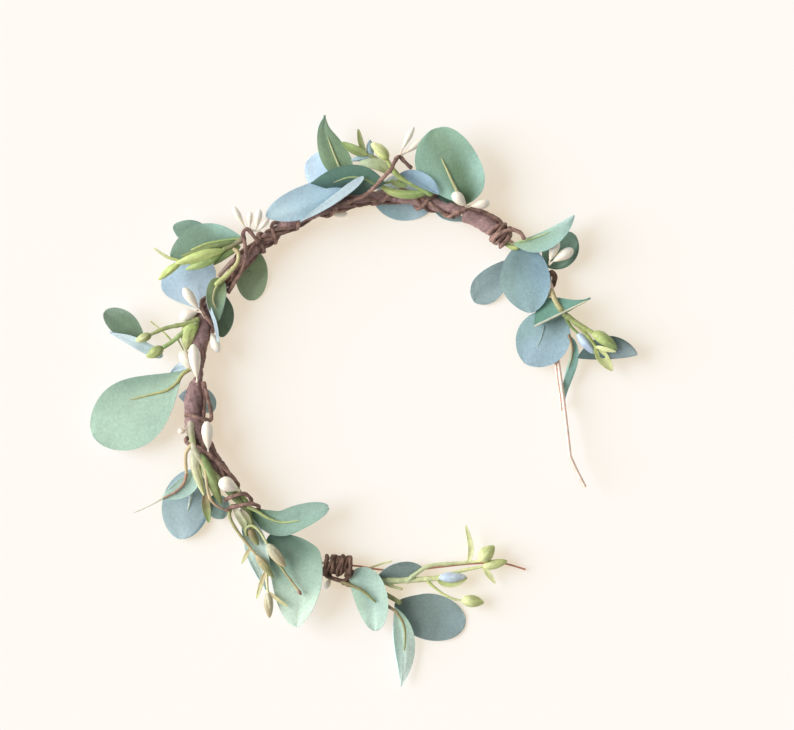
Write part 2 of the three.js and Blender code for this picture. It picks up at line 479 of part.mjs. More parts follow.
// A leaf as a closed shell, grown on every side by grow.
function leafSolid(leaf, grow = 0) {
  const rows = 5;
  const sharp = leaf.fold.some((slope) => Math.abs(slope) > SHARP_FOLD);
  const across = sharp ? [-1, -0.68, -0.3, 0, 0.3, 0.68, 1] : [-1, -0.55, 0, 0.55, 1];
  const columns = across.length;
  const thickness = LEAF_THICKNESS + 2 * grow;
  const points = [[], []];
  const small = 0.01;
  for (let i = 0; i <= rows; i++) {
    const s = (1 - Math.cos((Math.PI * i) / rows)) / 2;
    const ends = (grow / leaf.length) * (2 * s - 1);
    for (const v of across) {
      const here = bladeAt(leaf, s, v, grow);
      const ahead = bladeAt(leaf, Math.min(1, s + small), v, grow);
      const behind = bladeAt(leaf, Math.max(0, s - small), v, grow);
      const leftwards = bladeAt(leaf, s, Math.min(1, v + small), grow);
      const rightwards = bladeAt(leaf, s, Math.max(-1, v - small), grow);
      const lengthwise = ahead.sub(behind);
      const normal = lengthwise.clone().cross(leftwards.sub(rightwards)).normalize();
      here.addScaledVector(leafFrame(leaf, s).forward, ends * leaf.length);
      points[0].push(here.clone().addScaledVector(normal, thickness / 2));
      points[1].push(here.addScaledVector(normal, -thickness / 2));
    }
  }
  const back = points[0].length;
  const faces = [];
  const quad = (a, b, c, d) => faces.push([a, b, c], [a, c, d]);
  for (let i = 0; i < rows; i++) {
    const row = i * columns;
    for (let j = 0; j < columns - 1; j++) {
      const [a, b] = [row + j, row + j + columns];
      quad(a, b, b + 1, a + 1);
      quad(back + a, back + a + 1, back + b + 1, back + b);
    }
    const [right, left] = [row, row + columns - 1];
    quad(right, back + right, back + right + columns, right + columns);
    quad(left, left + columns, back + left + columns, back + left);
  }
  for (let j = 0; j < columns - 1; j++) {
    const tip = rows * columns + j;
    quad(j, j + 1, back + j + 1, back + j);
    quad(tip, back + tip, back + tip + 1, tip + 1);
  }
  return solidFrom([...points[0], ...points[1]], faces);
}

// ---------------------------------------------------------------- placing the pieces
const crown = new THREE.Group();
crown.position.set(...RING_CENTRE);
const bodies = {};
for (const name of ["upper_arc", "lower_arc", "right_end", "wire_tail", "lower_end"]) {
  bodies[name] = new THREE.Group();
  bodies[name].name = name;
  crown.add(bodies[name]);
}
const placed = [];

// Whether two solids' boxes meet.
function near(a, b) {
  const [boxA, boxB] = [a.boundingBox(), b.boundingBox()];
  return [0, 1, 2].every((i) => boxA.min[i] <= boxB.max[i] && boxB.min[i] <= boxA.max[i]);
}

// Trims a solid by what is placed already, keeps its largest part and adds it to its body.
function place(name, body, colour, solid, clearance) {
  for (const other of placed) if (near(solid, other)) solid = solid.subtract(other);
  const [largest] = solid.decompose().sort((a, b) => b.volume() - a.volume());
  placed.push(clearance);
  const { vertProperties, triVerts, numProp } = largest.getMesh();
  const geometry = new THREE.BufferGeometry();
  geometry.setAttribute("position", new THREE.BufferAttribute(vertProperties, numProp));
  geometry.setIndex(new THREE.BufferAttribute(triVerts, 1));
  const finish = FINISH[colour] ?? MATT;
  const material = new THREE.MeshStandardMaterial({ color: COLOURS[colour], ...finish });
  const mesh = new THREE.Mesh(geometry, material);
  mesh.name = name;
  bodies[body].add(mesh);
}

// A round piece along a curve, with its clearance.
function placeRound(name, body, colour, curve, radius, steps, options) {
  const roomy = (t) => radius(t) + GAP;
  const solid = sweep(curve, radius, steps, options);
  place(name, body, colour, solid, sweep(curve, roomy, steps, options));
}

const curves = {};
for (const [route, points] of Object.entries(ROUTES)) curves[route] = curveThrough(points);

// The frame wire, cut at its bending points.
function placeWire(name, body, route, radius, steps, cutStart, cutEnd) {
  const share = HINGE_GAP / curves[route].getLength();
  const stretch = new Stretch(curves[route], cutStart ? share : 0, cutEnd ? 1 - share : 1);
  placeRound(name, body, "copper", stretch, () => radius, steps);
}
placeWire("frame_wire_upper", "upper_arc", "upper", WIRE_R, 30, true, true);
placeWire("frame_wire_lower", "lower_arc", "lower", WIRE_R, 24, true, true);
placeWire("frame_wire_right", "right_end", "right", WIRE_R, 20, true, true);
placeWire("frame_wire_tail", "wire_tail", "tail", WIRE_R, 4, true, false);
placeWire("frame_wire_lower_end", "lower_end", "lower_end", THIN_WIRE_R, 20, true, false);

// Tape sleeves: the wire's clearance bores them through.
const TAPE_SIDES = 8;
const TAPE_STEP = 9;
for (const [name, body, route, from, to, radii] of TAPES) {
  const stretch = new Stretch(curves[route], from, to);
  const steps = Math.round((curves[route].getLength() * (to - from)) / TAPE_STEP);
  placeRound(name, body, "tape", stretch, (t) => along(radii, t), steps, { sides: TAPE_SIDES });
}

// How far out the surface is at a share of a route: the tape's, or the bare wire's.
function surfaceRadius(route, t) {
  const tape = TAPES.find(([, , on, from, to]) => on === route && t >= from && t <= to);
  if (!tape) return WIRE_R;
  const [from, to, radii] = tape.slice(3);
  return along(radii, (t - from) / (to - from));
}

// Points of a wire wound along a route at the winding's stations.
const WINDING_SLACK = 0.45; // between the surface and the wire
const WINDING_STEP = 0.14; // turns
const WINDING_SPACING = 7; // between points where it hardly turns
function windingPoints(route, stations) {
  const points = [];
  for (let i = 0; i < stations.length - 1; i++) {
    const [[t0, turn0], [t1, turn1]] = [stations[i], stations[i + 1]];
    const length = curves[route].getLength() * (t1 - t0);
    const turned = Math.ceil(Math.abs(turn1 - turn0) / WINDING_STEP);
    const count = Math.max(turned, Math.ceil(length / WINDING_SPACING));
    for (let j = 0; j < count; j++) {
      const t = lerp(t0, t1, j / count);
      const angle = 2 * Math.PI * lerp(turn0, turn1, j / count);
      const forward = curves[route].getTangentAt(t);
      const side = new THREE.Vector3(-forward.y, forward.x, 0).normalize();
      const up = forward.clone().cross(side);
      const reach = surfaceRadius(route, t) + WINDING_SLACK + VINE_R;
      const point = curves[route].getPointAt(t).addScaledVector(side, reach * Math.cos(angle));
      points.push(point.addScaledVector(up, reach * Math.sin(angle)).toArray());
    }
  }
  return points;
}

const STRAND = { sides: 4, level: false };
for (const { name, body, route, before, wound, after } of VINES) {
  const points = [...before, ...windingPoints(route, wound), ...after];
  placeRound(name, body, "vine", curveThrough(points), () => VINE_R, points.length, STRAND);
}
placeRound("vine_wire_loop", "upper_arc", "vine", curveThrough(VINE_LOOP), () => VINE_R, 16, STRAND);
for (const [name, body, ...coil] of COILS) {
  const points = coilPoints(...coil);
  placeRound(name, body, "vine", curveThrough(points), () => VINE_R, points.length - 1, STRAND);
}

// Sprigs: stems, buds and leaflets joined into one moulding.
const budRadius = (width) => (t) => 0.25 + (width / 2 - 0.25) * Math.sin(Math.PI * t ** 0.8) ** 0.7;
function sprigSolid({ stems, buds, leaflets }, grow) {
  const parts = [];
  for (const [start, end, ...points] of stems) {
    const radius = (t) => lerp(start, end, t) + grow;
    parts.push(sweep(curveThrough(points), radius, points.length, { sides: 4 }));
  }
  for (const [width, ...points] of buds) {
    const radius = (t) => budRadius(width)(t) + grow;
    parts.push(sweep(curveThrough(points), radius, 5, { sides: 4 }));
  }
  for (const [width, ...points] of leaflets) {
    const radius = (t) => budRadius(width)(t) + grow;
    const flat = (width * LEAFLET_FLATNESS + grow) / (width + grow);
    parts.push(sweep(curveThrough(points), radius, 4, { sides: 4, flat }));
  }
  return parts.reduce((all, part) => all.add(part));
}
for (const sprig of SPRIGS) {
  place(sprig.name, sprig.body, "stem", sprigSolid(sprig, 0), sprigSolid(sprig, GAP));
}

// Pips: teardrops on threads that meet where they are tied.
const pipRadius = (width) => (t) => Math.max(0.3, (width / 2) * Math.sin(Math.PI * t ** 1.6) ** 0.8);
function pipsSolid(tied, pips, grow) {
  const parts = [];
  for (const [base, tip, width] of pips) {
    const inside = vec(base).lerp(vec(tip), 0.3).toArray();
    parts.push(sweep(curveThrough([tied, base, inside]), () => THREAD_R + grow, 3, { sides: 4 }));
    parts.push(sweep(curveThrough([base, tip]), (t) => pipRadius(width)(t) + grow, 5, { sides: 5 }));
  }
  return parts.reduce((all, part) => all.add(part));
}
for (const [name, body, tied, pips] of PIPS) {
  place(name, body, "pip", pipsSolid(tied, pips, 0), pipsSolid(tied, pips, GAP));
}

for (const leaf of LEAVES) {
  place(leaf.name, leaf.body, leaf.colour, leafSolid(leaf), leafSolid(leaf, GAP));
}

export default crown;
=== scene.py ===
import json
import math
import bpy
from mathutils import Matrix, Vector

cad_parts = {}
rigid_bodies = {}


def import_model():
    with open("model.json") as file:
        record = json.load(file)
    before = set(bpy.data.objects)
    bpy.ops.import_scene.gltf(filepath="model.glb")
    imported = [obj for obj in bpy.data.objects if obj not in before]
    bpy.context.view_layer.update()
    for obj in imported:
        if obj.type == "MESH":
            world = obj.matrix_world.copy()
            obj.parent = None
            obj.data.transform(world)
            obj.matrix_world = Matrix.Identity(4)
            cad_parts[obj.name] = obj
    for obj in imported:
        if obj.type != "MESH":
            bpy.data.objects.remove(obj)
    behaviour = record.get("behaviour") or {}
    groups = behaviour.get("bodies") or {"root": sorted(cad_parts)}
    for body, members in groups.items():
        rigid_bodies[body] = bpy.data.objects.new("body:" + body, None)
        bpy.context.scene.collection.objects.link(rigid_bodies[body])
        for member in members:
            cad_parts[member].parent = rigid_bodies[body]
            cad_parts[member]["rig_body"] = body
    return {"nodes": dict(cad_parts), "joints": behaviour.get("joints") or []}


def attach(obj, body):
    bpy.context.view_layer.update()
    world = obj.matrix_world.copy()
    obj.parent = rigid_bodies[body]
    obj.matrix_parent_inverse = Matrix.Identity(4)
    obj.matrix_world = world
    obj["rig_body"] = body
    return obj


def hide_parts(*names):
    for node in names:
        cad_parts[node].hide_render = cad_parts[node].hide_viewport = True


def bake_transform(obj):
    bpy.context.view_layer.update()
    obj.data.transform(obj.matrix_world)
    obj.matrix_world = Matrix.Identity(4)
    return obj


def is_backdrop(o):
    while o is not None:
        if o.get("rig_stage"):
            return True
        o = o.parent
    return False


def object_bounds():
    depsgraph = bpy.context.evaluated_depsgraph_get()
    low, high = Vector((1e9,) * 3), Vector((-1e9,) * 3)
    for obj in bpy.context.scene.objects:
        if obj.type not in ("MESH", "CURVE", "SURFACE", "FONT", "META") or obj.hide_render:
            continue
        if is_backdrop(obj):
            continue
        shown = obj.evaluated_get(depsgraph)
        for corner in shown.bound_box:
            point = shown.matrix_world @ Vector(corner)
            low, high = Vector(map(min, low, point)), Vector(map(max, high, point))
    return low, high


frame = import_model()
CAD_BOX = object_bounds()

# Looks of the artificial eucalyptus hair crown. The layout is in millimetres from the ring's centre,
# as the CAD has it, and goes to the frame's metres in one place, to_frame.
import zlib

import bpy
import numpy as np
from mathutils.bvhtree import BVHTree

MM = 0.001
TURN = 2 * math.pi
LEFT_BEND = (-82.3, 8, 14)
RIGHT_BEND = (64.5, 69.3, 14)
TAIL_BEND = (91.3, -31, 18)
LOWER_BEND = (-26.5, -81, 13.5)
JOINTS = {joint["name"]: joint for joint in frame["joints"]}
CENTRE = np.array(JOINTS["crown_spread"]["pos_m"]) / MM - LEFT_BEND

# ---------------------------------------------------------------- colours, as red, green, blue to 255
RED_COPPER = (196, 138, 116)
TAPE = (180, 146, 144)
TAPE_DARK = (156, 126, 125)
# The low sleeve's paler lip is painted highlight on its flank towards the light, and its dark gap is
# painted shade; TAPE_PALE also colours a stem.
TAPE_PALE = (186, 176, 160)
TAPE_GAP = (58, 52, 42)
VINE = (160, 126, 114)
VINE_DARK = (120, 90, 76)
CREAM = (255, 248, 236)
THREAD = (244, 232, 214)
POWDER = (182, 208, 222)
LIME = (192, 204, 130)
LEMON = (224, 228, 172)
OLIVE = (148, 158, 104)
SAGE = (180, 192, 150)
GREEN = (150, 176, 112)
FOREST = (108, 130, 84)
TAN = (202, 184, 144)
RUST = (168, 132, 112)
BROWN = (146, 122, 92)
MAUVE = (142, 128, 112)
GREY_TAN = (206, 204, 178)
BUD_BLUE = (190, 208, 230)
SLATE_BLUE = (156, 182, 192)
# Painted light on the thick wire: a painted highlight along its top and painted shade on the flank away
# from the light; rosy is its copper.
WIRE_TOP = (252, 224, 208)
WIRE_ROSY = (242, 200, 184)
WIRE_TARNISHED = (218, 178, 160)
UNSEEN = (130, 170, 150)  # the fronts of leaves that lie turned over

# ---------------------------------------------------------------- routes of the frame wire
ROUTES = {
    "upper": [
        (64.5, 69.3, 14), (58, 74, 14), (50, 79, 14), (38, 84.5, 14), (26, 88, 14), (12, 90.5, 14),
        (0, 91, 14), (-12, 88.5, 14), (-24, 85, 14), (-38, 79.5, 14), (-50, 72, 14), (-59, 64, 14),
        (-68, 54, 14), (-75.5, 44, 14), (-79.5, 35, 14), (-82, 26, 14), (-83.3, 17, 14), LEFT_BEND],
    "lower": [
        LEFT_BEND, (-84.5, 0, 14), (-85.3, -10, 14), (-84, -20, 14), (-78.5, -29.5, 14),
        (-72.5, -37, 14), (-66.5, -45, 14), (-61, -53, 13.5), (-53, -62, 13), (-44, -70.5, 13),
        (-35, -77, 13.2), LOWER_BEND],
    "right": [
        RIGHT_BEND, (71.5, 64.4, 13.4), (79, 58, 12.5), (82.8, 50, 11.2), (84.2, 32, 10.2),
        (86, 15, 11), (88.5, -5, 14.5), TAIL_BEND],
    "tail": [TAIL_BEND, (94, -37, 18.6), (98.3, -45.5, 19.5)],
    "lower_end": [
        LOWER_BEND, (-17, -82.4, 13.5), (-8, -82.8, 13), (0, -84.3, 11.5), (14, -85.3, 10.2),
        (30, -83.6, 9.5), (46, -82, 9), (60, -81.8, 8.8), (71, -84.8, 8.5)],
}
ROUTE_BODIES = {
    "upper": "upper_arc", "lower": "lower_arc", "right": "right_end", "tail": "wire_tail",
    "lower_end": "lower_end"}
WIRE_R = 0.9
THIN_WIRE_R = 0.45
VINE_R = 0.95

# Tape sleeves: route, the shares of it where a sleeve starts and ends, and radii along the sleeve.
TAPES = {
    "tape_sleeve_right": ("upper", 0.008, 0.135, (3.9, 3.9, 3.9, 3.9)),
    "tape_sleeve_top": ("upper", 0.14, 0.8, (
        3.0, 3.2, 3.0, 2.7, 2.5, 2.5, 2.6, 2.6, 2.6, 2.8, 3.0, 2.9, 2.7, 2.5, 2.5)),
    "tape_sleeve_left": ("upper", 0.806, 0.985, (2.6, 3.3, 4.2, 4.6, 3.6, 2.1)),
    "tape_sleeve_low": ("lower", 0.015, 0.5, (
        2.1, 3.6, 4.4, 4.6, 4.6, 4.4, 4.1, 3.6, 3.2, 3.0, 2.9, 2.6)),
}

# ---------------------------------------------------------------- curves
PER_SEGMENT = 32  # points computed between two given ones
POINT_SPACING = 1.5  # between the points of a part of a path
SLOPE_REACH = 0.4  # how far to each side a path's direction is measured
WAVES = 6  # waves added up to make something lumpy


class Path:
    """A smooth curve through points, read by its share of the length."""

    def __init__(self, points):
        p = np.array(points, float)
        p = np.vstack([2 * p[0] - p[1], p, 2 * p[-1] - p[-2]])
        dense = []
        for a, b, c, d in zip(p, p[1:], p[2:], p[3:]):
            before, inside, after = (np.linalg.norm(x - y) ** 0.5 for x, y in ((b, a), (c, b), (d, c)))
            start = (b - a) / before - (c - a) / (before + inside) + (c - b) / inside
            end = (c - b) / inside - (d - b) / (inside + after) + (d - c) / after
            start, end = start * inside, end * inside
            t = np.linspace(0, 1, PER_SEGMENT, endpoint=False)[:, None]
            cubic = (2 * b - 2 * c + start + end) * t**3 + (3 * c - 3 * b - 2 * start - end) * t**2
            dense.append(b + start * t + cubic)
        self.dense = np.vstack([*dense, p[-2]])
        steps = np.linalg.norm(np.diff(self.dense, axis=0), axis=1)
        self.along = np.concatenate([[0], np.cumsum(steps)])
        self.length = self.along[-1]

    def at(self, shares):
        d = np.asarray(shares, float) * self.length
        return np.stack([np.interp(d, self.along, self.dense[:, i]) for i in range(3)], -1)

    def forward(self, shares):
        step = SLOPE_REACH / self.length
        low, high = np.clip(shares - step, 0, 1), np.clip(shares + step, 0, 1)
        return unit(self.at(high) - self.at(low))

    def part(self, start, end):
        """The stretch between two shares, as a path of its own."""
        count = max(4, int(self.length * (end - start) / POINT_SPACING))
        return Path(self.at(np.linspace(start, end, count)))


def unit(vectors):
    return vectors / np.maximum(np.linalg.norm(vectors, axis=-1, keepdims=True), 1e-9)


def level_frame(forward):
    """The level side and the upward direction of each cross-section."""
    side = unit(np.stack([-forward[:, 1], forward[:, 0], 0 * forward[:, 0]], -1))
    return side, np.cross(forward, side)


def carried_frame(forward):
    """A side carried along the curve without turning, and its up."""
    side = [level_frame(forward[:1])[0][0]]
    for f in forward[1:]:
        moved = side[-1] - f * (side[-1] @ f)
        side.append(moved / np.linalg.norm(moved))
    side = np.array(side)
    return side, np.cross(forward, side)


def ring_about(side, up, angle):
    """A unit vector at each angle about a path, one for each of its cross-sections."""
    return side * np.cos(angle)[:, None] + up * np.sin(angle)[:, None]


def from_ends(t, path, reach):
    """0 at a path's ends, rising to 1 at a reach inside them."""
    along = t * path.length
    return np.clip(np.minimum(along, path.length - along) / reach, 0, 1)


def seeded(name):
    return np.random.RandomState(zlib.crc32(name.encode()) & 0x7FFFFFFF)


def lumps(points, size, random):
    """Smooth unevenness from about -1 to 1 at points, with features of that size."""
    total = 0
    for _ in range(WAVES):
        direction = unit(random.normal(size=3)) * random.uniform(0.7, 1.5) * TURN / size
        total = total + np.sin(points @ direction + random.uniform(0, TURN))
    return total / (WAVES / 2)


# ---------------------------------------------------------------- shapes
class Shape:
    """Points, faces, their flow coordinates (length along, turns around), tints and materials."""

    def __init__(self):
        self.points, self.faces, self.flow, self.tint, self.material = [], [], [], [], []
        self.count = 0

    def add(self, points, faces, flow, tint):
        points = np.asarray(points, float).reshape(-1, 3)
        self.points.append(points)
        self.tint.append(np.broadcast_to(np.asarray(tint, float), points.shape))
        self.faces += [tuple(int(i) + self.count for i in face) for face in faces]
        self.flow += [tuple(map(float, corner)) for face in flow for corner in face]
        self.material += [0] * len(faces)
        self.count += len(points)

    def add_shape(self, other, material=0):
        for points, tint in zip(other.points, other.tint):
            self.points.append(points)
            self.tint.append(tint)
        self.faces += [tuple(i + self.count for i in face) for face in other.faces]
        self.flow += other.flow
        self.material += [material] * len(other.faces)
        self.count += other.count


def pair(value):
    """A pair, from a pair or from one value that stands for both."""
    return value if isinstance(value, tuple) and len(value) == 2 else (value, value)


def linear(colour):
    """A colour to 255 as linear light."""
    c = np.asarray(colour, float) / 255
    return np.where(c <= 0.04045, c / 12.92, ((c + 0.055) / 1.055) ** 2.4)


def tube(path, radius, tint, step, sides, level=False):
    """A closed tube. radius(t, angle, points) and tint(t, angle) take whole grids."""
    rows = max(6, int(path.length / step)) + 1
    t = np.linspace(0, 1, rows)
    forward = path.forward(t)
    side, up = level_frame(forward) if level else carried_frame(forward)
    angle = np.linspace(0, TURN, sides, endpoint=False)
    around = side[:, None] * np.cos(angle)[:, None] + up[:, None] * np.sin(angle)[:, None]
    centre = path.at(t)[:, None]
    shares, angles = np.meshgrid(t, angle, indexing="ij")
    r = radius(shares, angles, centre + around * VINE_R)
    points = (centre + around * r[..., None]).reshape(-1, 3)
    colours = tint(shares, angles) if callable(tint) else linear(tint)
    colours = np.broadcast_to(colours, (rows, sides, 3)).reshape(-1, 3)
    faces, flow = [], []
    along = t * path.length
    for i in range(rows - 1):
        for k in range(sides):
            n = (k + 1) % sides
            faces.append((i * sides + k, i * sides + n, (i + 1) * sides + n, (i + 1) * sides + k))
            v0, v1 = k / sides, (k + 1) / sides
            flow.append(((along[i], v0), (along[i], v1), (along[i + 1], v1), (along[i + 1], v0)))
    first, last = rows * sides, rows * sides + 1
    points = np.vstack([points, path.at([0.0, 1.0])])
    colours = np.vstack([colours, colours[0], colours[-1]])
    for k in range(sides):
        n = (k + 1) % sides
        faces.append((first, n, k))
        faces.append((last, (rows - 1) * sides + k, (rows - 1) * sides + n))
        flow.append([(0, 0)] * 3)
        flow.append([(along[-1], 0)] * 3)
    shape = Shape()
    shape.add(points, faces, flow, colours)
    return shape


def shell(middle, thickness, front, back, flow_u, flow_v):
    """A closed sheet about a grid of points: rows run forwards, columns from right to left."""
    rows, columns = middle.shape[:2]
    forward, leftward = np.gradient(middle, axis=0), np.gradient(middle, axis=1)
    normal = unit(np.cross(forward, leftward))
    half = np.broadcast_to(thickness, (rows, columns))[..., None] / 2
    top, under = middle + normal * half, middle - normal * half
    count = rows * columns
    faces, flow = [], []

    def quad(*corners):
        faces.append(corners)
        spots = [divmod(c % count, columns) for c in corners]
        flow.append([(flow_u[i, k], flow_v[i, k]) for i, k in spots])

    for i in range(rows - 1):
        for k in range(columns - 1):
            a, b = i * columns + k, (i + 1) * columns + k
            quad(a, b, b + 1, a + 1)
            quad(count + a, count + a + 1, count + b + 1, count + b)
        right, left = i * columns, (i + 1) * columns - 1
        quad(right, count + right, count + right + columns, right + columns)
        quad(left, left + columns, count + left + columns, count + left)
    for k in range(columns - 1):
        tip = (rows - 1) * columns + k
        quad(k, k + 1, count + k + 1, count + k)
        quad(tip, count + tip, count + tip + 1, tip + 1)
    shape = Shape()
    tints = np.vstack([front.reshape(-1, 3), back.reshape(-1, 3)])
    shape.add(np.vstack([top.reshape(-1, 3), under.reshape(-1, 3)]), faces, flow, tints)
    return shape


def to_frame(points):
    return (np.asarray(points) + CENTRE) * MM


SHARP = math.radians(55)


def placed(name, data):
    made = bpy.data.objects.new(name, data)
    bpy.context.scene.collection.objects.link(made)
    return made


def piece(name, shape, materials, node=None, body=None):
    """Makes the object, and lets it stand for its CAD node and ride on that node's body."""
    points = to_frame(np.vstack(shape.points))
    mesh = bpy.data.meshes.new(name)
    mesh.from_pydata(points.tolist(), [], shape.faces)
    flow = mesh.uv_layers.new(name="Flow")
    flow.data.foreach_set("uv", np.array(shape.flow, np.float32).ravel())
    tint = mesh.attributes.new("tint", "FLOAT_COLOR", "POINT")
    rgba = np.ones((len(points), 4), np.float32)
    rgba[:, :3] = np.vstack(shape.tint)
    tint.data.foreach_set("color", rgba.ravel())
    for material in materials:
        mesh.materials.append(material)
    mesh.polygons.foreach_set("material_index", shape.material)
    mesh.polygons.foreach_set("use_smooth", [True] * len(shape.faces))
    mesh.set_sharp_from_angle(angle=SHARP)
    mesh.update()
    made = placed(name, mesh)
    if node:
        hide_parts(node)
        body = frame["nodes"][node]["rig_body"]
    if body:
        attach(made, body)
    return made


# ---------------------------------------------------------------- materials
class Nodes:
    """Short calls for a material's node tree."""

    def __init__(self, name):
        self.material = bpy.data.materials.new(name)
        self.material.use_nodes = True
        self.tree = self.material.node_tree
        self.shader = self.tree.nodes["Principled BSDF"]

    def node(self, kind, inputs=None, **settings):
        made = self.tree.nodes.new("ShaderNode" + kind)
        for key, value in settings.items():
            setattr(made, key, value)
        for key, value in (inputs or {}).items():
            self.put(made.inputs[key], value)
        return made

    def put(self, socket, value):
        if isinstance(value, bpy.types.NodeSocket):
            self.tree.links.new(value, socket)
        else:
            socket.default_value = value

    def set(self, **values):
        for key, value in values.items():
            self.put(self.shader.inputs[key.replace("_", " ")], value)

    def tint(self):
        return self.node("Attribute", attribute_name="tint", attribute_type="GEOMETRY").outputs["Color"]

    def place(self):
        return self.node("TexCoord").outputs["Object"]

    def flow(self, stretch, slant=0.0):
        """Flow coordinates, scaled: per millimetre along, and per turn around."""
        uv = self.node("UVMap", uv_map="Flow").outputs["UV"]
        change = {"Vector": uv, "Rotation": (0, 0, slant), "Scale": (*stretch, 1)}
        return self.node("Mapping", change).outputs["Vector"]

    def noise(self, vector, scale, detail=3.0, roughness=0.55, low=0.0, high=1.0):
        """Noise remapped so that most of it runs from low to high."""
        made = self.node("TexNoise", {
            "Vector": vector, "Scale": scale, "Detail": detail, "Roughness": roughness})
        spread = {"Value": made.outputs["Fac"], 1: 0.3, 2: 0.7, 3: low, 4: high}
        return self.node("MapRange", spread).outputs["Result"]

    def scaled(self, colour, factor):
        """A colour times a factor."""
        return self.node("VectorMath", {0: colour, "Scale": factor}, operation="SCALE").outputs["Vector"]

    def mixed(self, share, first, second):
        """A blend of two colours; the sockets' numbers are those of the colour mode."""
        return self.node("Mix", {0: share, 6: first, 7: second}, data_type="RGBA").outputs[2]

    def times(self, first, second):
        return self.node("Math", {0: first, 1: second}, operation="MULTIPLY").outputs[0]

    def grain(self, scale, depth, strength, detail=4):
        """Fine unevenness of the surface."""
        return self.bump(self.noise(self.place(), scale, detail=detail), depth, strength)

    def bump(self, height, distance, strength, under=None):
        made = self.node("Bump", {"Height": height, "Distance": distance, "Strength": strength})
        if under:
            self.put(made.inputs["Normal"], under)
        return made.outputs["Normal"]


def leaf_cloth():
    """Dyed felt-like cloth: soft mottling, fine fibres and a dusty sheen."""
    n = Nodes("leaf_cloth")
    place = n.place()
    cloudy = n.noise(place, scale=90, detail=4, low=0.93, high=1.06)
    mottled = n.noise(place, scale=700, detail=5, roughness=0.75, low=0.87, high=1.12)
    fibres = n.noise(n.flow((0.5, 9)), scale=2.2, detail=4, low=0.95, high=1.04)
    shade = n.times(n.times(cloudy, mottled), fibres)
    n.set(Base_Color=n.scaled(n.tint(), shade), Roughness=n.noise(place, scale=400, low=0.72, high=0.92))
    n.set(Sheen_Weight=0.25, Sheen_Roughness=0.5, Specular_IOR_Level=0.25)
    weave = n.grain(scale=1900, depth=0.00012, strength=0.5)
    n.set(Normal=n.bump(n.noise(place, scale=240), distance=0.0003, strength=0.35, under=weave))
    return n.material


def crepe_tape():
    """Waxed crepe paper tape: fine lengthwise crinkles, paler on their ridges and in patches, partly where
    the tape is stretched and partly as painted highlight, and darker in the creases as painted shade.
    """
    n = Nodes("floral_tape")
    place = n.place()
    crinkles = n.noise(n.flow((0.55, 30)), scale=1.6, detail=5, roughness=0.65)
    patches = n.noise(place, scale=260, detail=4)
    pale = n.times(crinkles, patches)
    # Crinkle ridges are paler, partly stretched tape and partly painted highlight; the creases are painted
    # shade.
    darker, paler = n.scaled(n.tint(), 0.55), n.scaled(n.tint(), 2.0)
    n.set(Base_Color=n.mixed(pale, darker, paler))
    n.set(Roughness=n.noise(place, scale=500, low=0.5, high=0.8))
    fine = n.grain(scale=1500, depth=0.0001, strength=0.5)
    n.set(Normal=n.bump(crinkles, distance=0.0004, strength=0.9, under=fine))
    return n.material


def vine_paper():
    """Brown twisted paper over wire: slanted fibres, paler on the raised strands as painted highlight and
    darker between them as painted shade, varying in patches.
    """
    n = Nodes("vine_paper")
    place = n.place()
    strands = n.noise(n.flow((0.5, 12), slant=0.5), scale=2.4, detail=4, roughness=0.6)
    patches = n.noise(place, scale=330)
    # Painted highlight on the raised strands and painted shade between them, in patches.
    share = n.times(strands, patches)
    n.set(Base_Color=n.mixed(share, n.scaled(n.tint(), 0.38), n.scaled(n.tint(), 2.4)))
    n.set(Roughness=n.noise(place, scale=700, low=0.6, high=0.85))
    fine = n.grain(scale=1700, depth=0.0001, strength=0.5)
    n.set(Normal=n.bump(strands, distance=0.00035, strength=0.8, under=fine))
    return n.material


def sprig_plastic():
    """Soft moulded plastic with painted, slightly blotchy colour that lets some light in."""
    n = Nodes("sprig_plastic")
    place = n.place()
    blotches = n.noise(place, scale=300, detail=4, low=0.82, high=1.14)
    veins = n.noise(n.flow((0.25, 10)), scale=2.0, low=0.88, high=1.08)
    n.set(Base_Color=n.scaled(n.tint(), n.times(blotches, veins)))
    n.set(Roughness=n.noise(place, scale=420, low=0.38, high=0.6))
    n.set(Subsurface_Weight=0.12, Subsurface_Radius=(0.0014, 0.0016, 0.0006))
    fine = n.grain(scale=1300, depth=0.00008, strength=0.4, detail=3)
    n.set(Normal=n.bump(veins, distance=0.00025, strength=0.6, under=fine))
    return n.material


def pip_lacquer():
    """Cream pearl lacquer, thin in places."""
    n = Nodes("pip_lacquer")
    place = n.place()
    n.set(Base_Color=n.scaled(n.tint(), n.noise(place, scale=280, low=0.95, high=1.03)))
    n.set(Roughness=n.noise(place, scale=500, low=0.3, high=0.5), Coat_Weight=0.35, Coat_Roughness=0.25)
    n.set(Subsurface_Weight=0.5, Subsurface_Radius=(0.0035, 0.0026, 0.0018))
    n.set(Normal=n.grain(scale=900, depth=0.00008, strength=0.4, detail=3))
    return n.material


def copper_wire():
    """Drawn copper wire with fine lengthwise scratches and dull spots."""
    n = Nodes("copper_wire")
    place = n.place()
    dull = n.noise(place, scale=350)
    scratches = n.noise(n.flow((0.08, 24)), scale=2.0)
    n.set(Base_Color=n.mixed(dull, n.scaled(n.tint(), 0.8), n.scaled(n.tint(), 1.12)))
    n.set(Metallic=0.3, Roughness=n.noise(place, scale=500, low=0.36, high=0.5))
    n.set(Normal=n.bump(scratches, distance=0.00005, strength=0.5))
    return n.material


CLOTH = leaf_cloth()
CREPE = crepe_tape()
PAPER = vine_paper()
PLASTIC = sprig_plastic()
LACQUER = pip_lacquer()
METAL = copper_wire()

